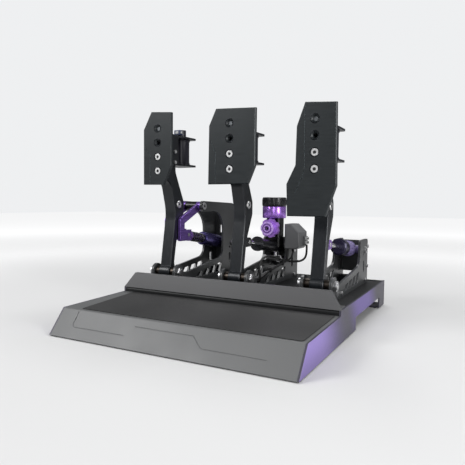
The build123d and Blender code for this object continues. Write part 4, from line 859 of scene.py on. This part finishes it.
# %% Ribs on the cap
rib_count = 48
rib_size = (0.9, 1.4, 10.0)
rib_rounding = 0.35
rib_height = cap_top - 8.0
rib_mesh = bmesh.new()
for number in range(rib_count):
    before = set(rib_mesh.verts)
    block(rib_mesh, (cap_radius, 0.0, 0.0), rib_size, rib_rounding)
    fresh = [vert for vert in rib_mesh.verts if vert not in before]
    turn = Matrix.Rotation(math.tau * number / rib_count, 4, "Z")
    move = Matrix.Translation(Vector((cap_middle.x, cap_middle.y, rib_height)) * mm) @ turn
    bmesh.ops.transform(rib_mesh, matrix=move, verts=fresh)
add_piece("cap_ribs", rib_mesh, cap_plastic, "brake_cylinder", False)

# %% [markdown]
# The floor is a plain pale sheet under the set. Far out, where the lamps no longer reach,
# it glows a little for the lens alone, so it meets the backdrop without a dark band.

# %% Floor
floor_half = 6.0
floor_mesh = bmesh.new()
bmesh.ops.create_grid(floor_mesh, x_segments=1, y_segments=1, size=floor_half)
floor_data = bpy.data.meshes.new("floor")
floor_mesh.to_mesh(floor_data)
floor_mesh.free()
floor = bpy.data.objects.new("floor", floor_data)
bpy.context.collection.objects.link(floor)
pale = Finish("pale_floor", Roughness=0.85, Emission_Strength=1.0)
pale.put("Base Color", pale.mix(pale.noise(1.5, 2.0), grey(0.6), grey(0.65)))
floor_x = pale.axis("X")
floor_y = pale.axis("Y")
away = floor_x * floor_x + floor_y * floor_y
seen_by_lens = pale.add("ShaderNodeLightPath", output="Is Camera Ray")
haze = (away.step(0.06, 1.4, 0.0, 0.36) + away.step(0.8, 6.0, 0.0, 0.42)) * seen_by_lens
pale.put("Emission Color", pale.mix(haze, grey(0.0), grey(1.0)))
floor_data.materials.append(pale.material)
print("floor:", 2 * floor_half, "m across")

# %% [markdown]
# The lens sees a pale backdrop, and the set is lit by a dimmer sky, so blacks stay deep.
# Four soft panels do most of the work: a broad one at the front left, a tall strip at the
# front right that draws a line down the round parts, another at the right, and a wide
# one above and behind that picks out the top edges.

# %% World and lamps
world = bpy.data.worlds.new("studio")
bpy.context.scene.world = world
world.use_nodes = True
surroundings = Network(world.node_tree)
sky_values = {"Color": (0.9, 0.92, 0.95, 1.0), "Strength": 0.22}
sky = surroundings.add("ShaderNodeBackground", None, sky_values)
backdrop_values = {"Color": (0.86, 0.87, 0.88, 1.0), "Strength": 1.0}
backdrop = surroundings.add("ShaderNodeBackground", None, backdrop_values)
seen = surroundings.add("ShaderNodeLightPath", output="Is Camera Ray")
either = surroundings.add("ShaderNodeMixShader", None, {0: seen, 1: sky, 2: backdrop})
surroundings.feed(surroundings.tree.nodes["World Output"].inputs["Surface"], either)
surroundings.tree.nodes.remove(surroundings.tree.nodes["Background"])


def soft_panel(name, place, target, width, height, power):
    light = bpy.data.lights.new(name, "AREA")
    light.shape = "RECTANGLE"
    light.size = width
    light.size_y = height
    light.energy = power
    panel = bpy.data.objects.new(name, light)
    aim = (Vector(target) - Vector(place)).to_track_quat("-Z", "Y")
    panel.matrix_world = Matrix.Translation(place) @ aim.to_matrix().to_4x4()
    bpy.context.collection.objects.link(panel)
    print(name, "gives", power, "W")


middle = (0.0, -0.02, 0.12)
soft_panel("front_left", (-1.2, -1.2, 1.2), middle, 0.9, 0.7, 24.0)
soft_panel("front_right", (0.55, -1.5, 0.75), middle, 0.22, 1.5, 6.0)
soft_panel("right", (1.4, -0.55, 0.55), middle, 0.35, 1.0, 14.0)
soft_panel("above", (0.1, 0.8, 1.6), middle, 1.6, 0.5, 22.0)
bpy.context.scene.view_settings.view_transform = "Standard"
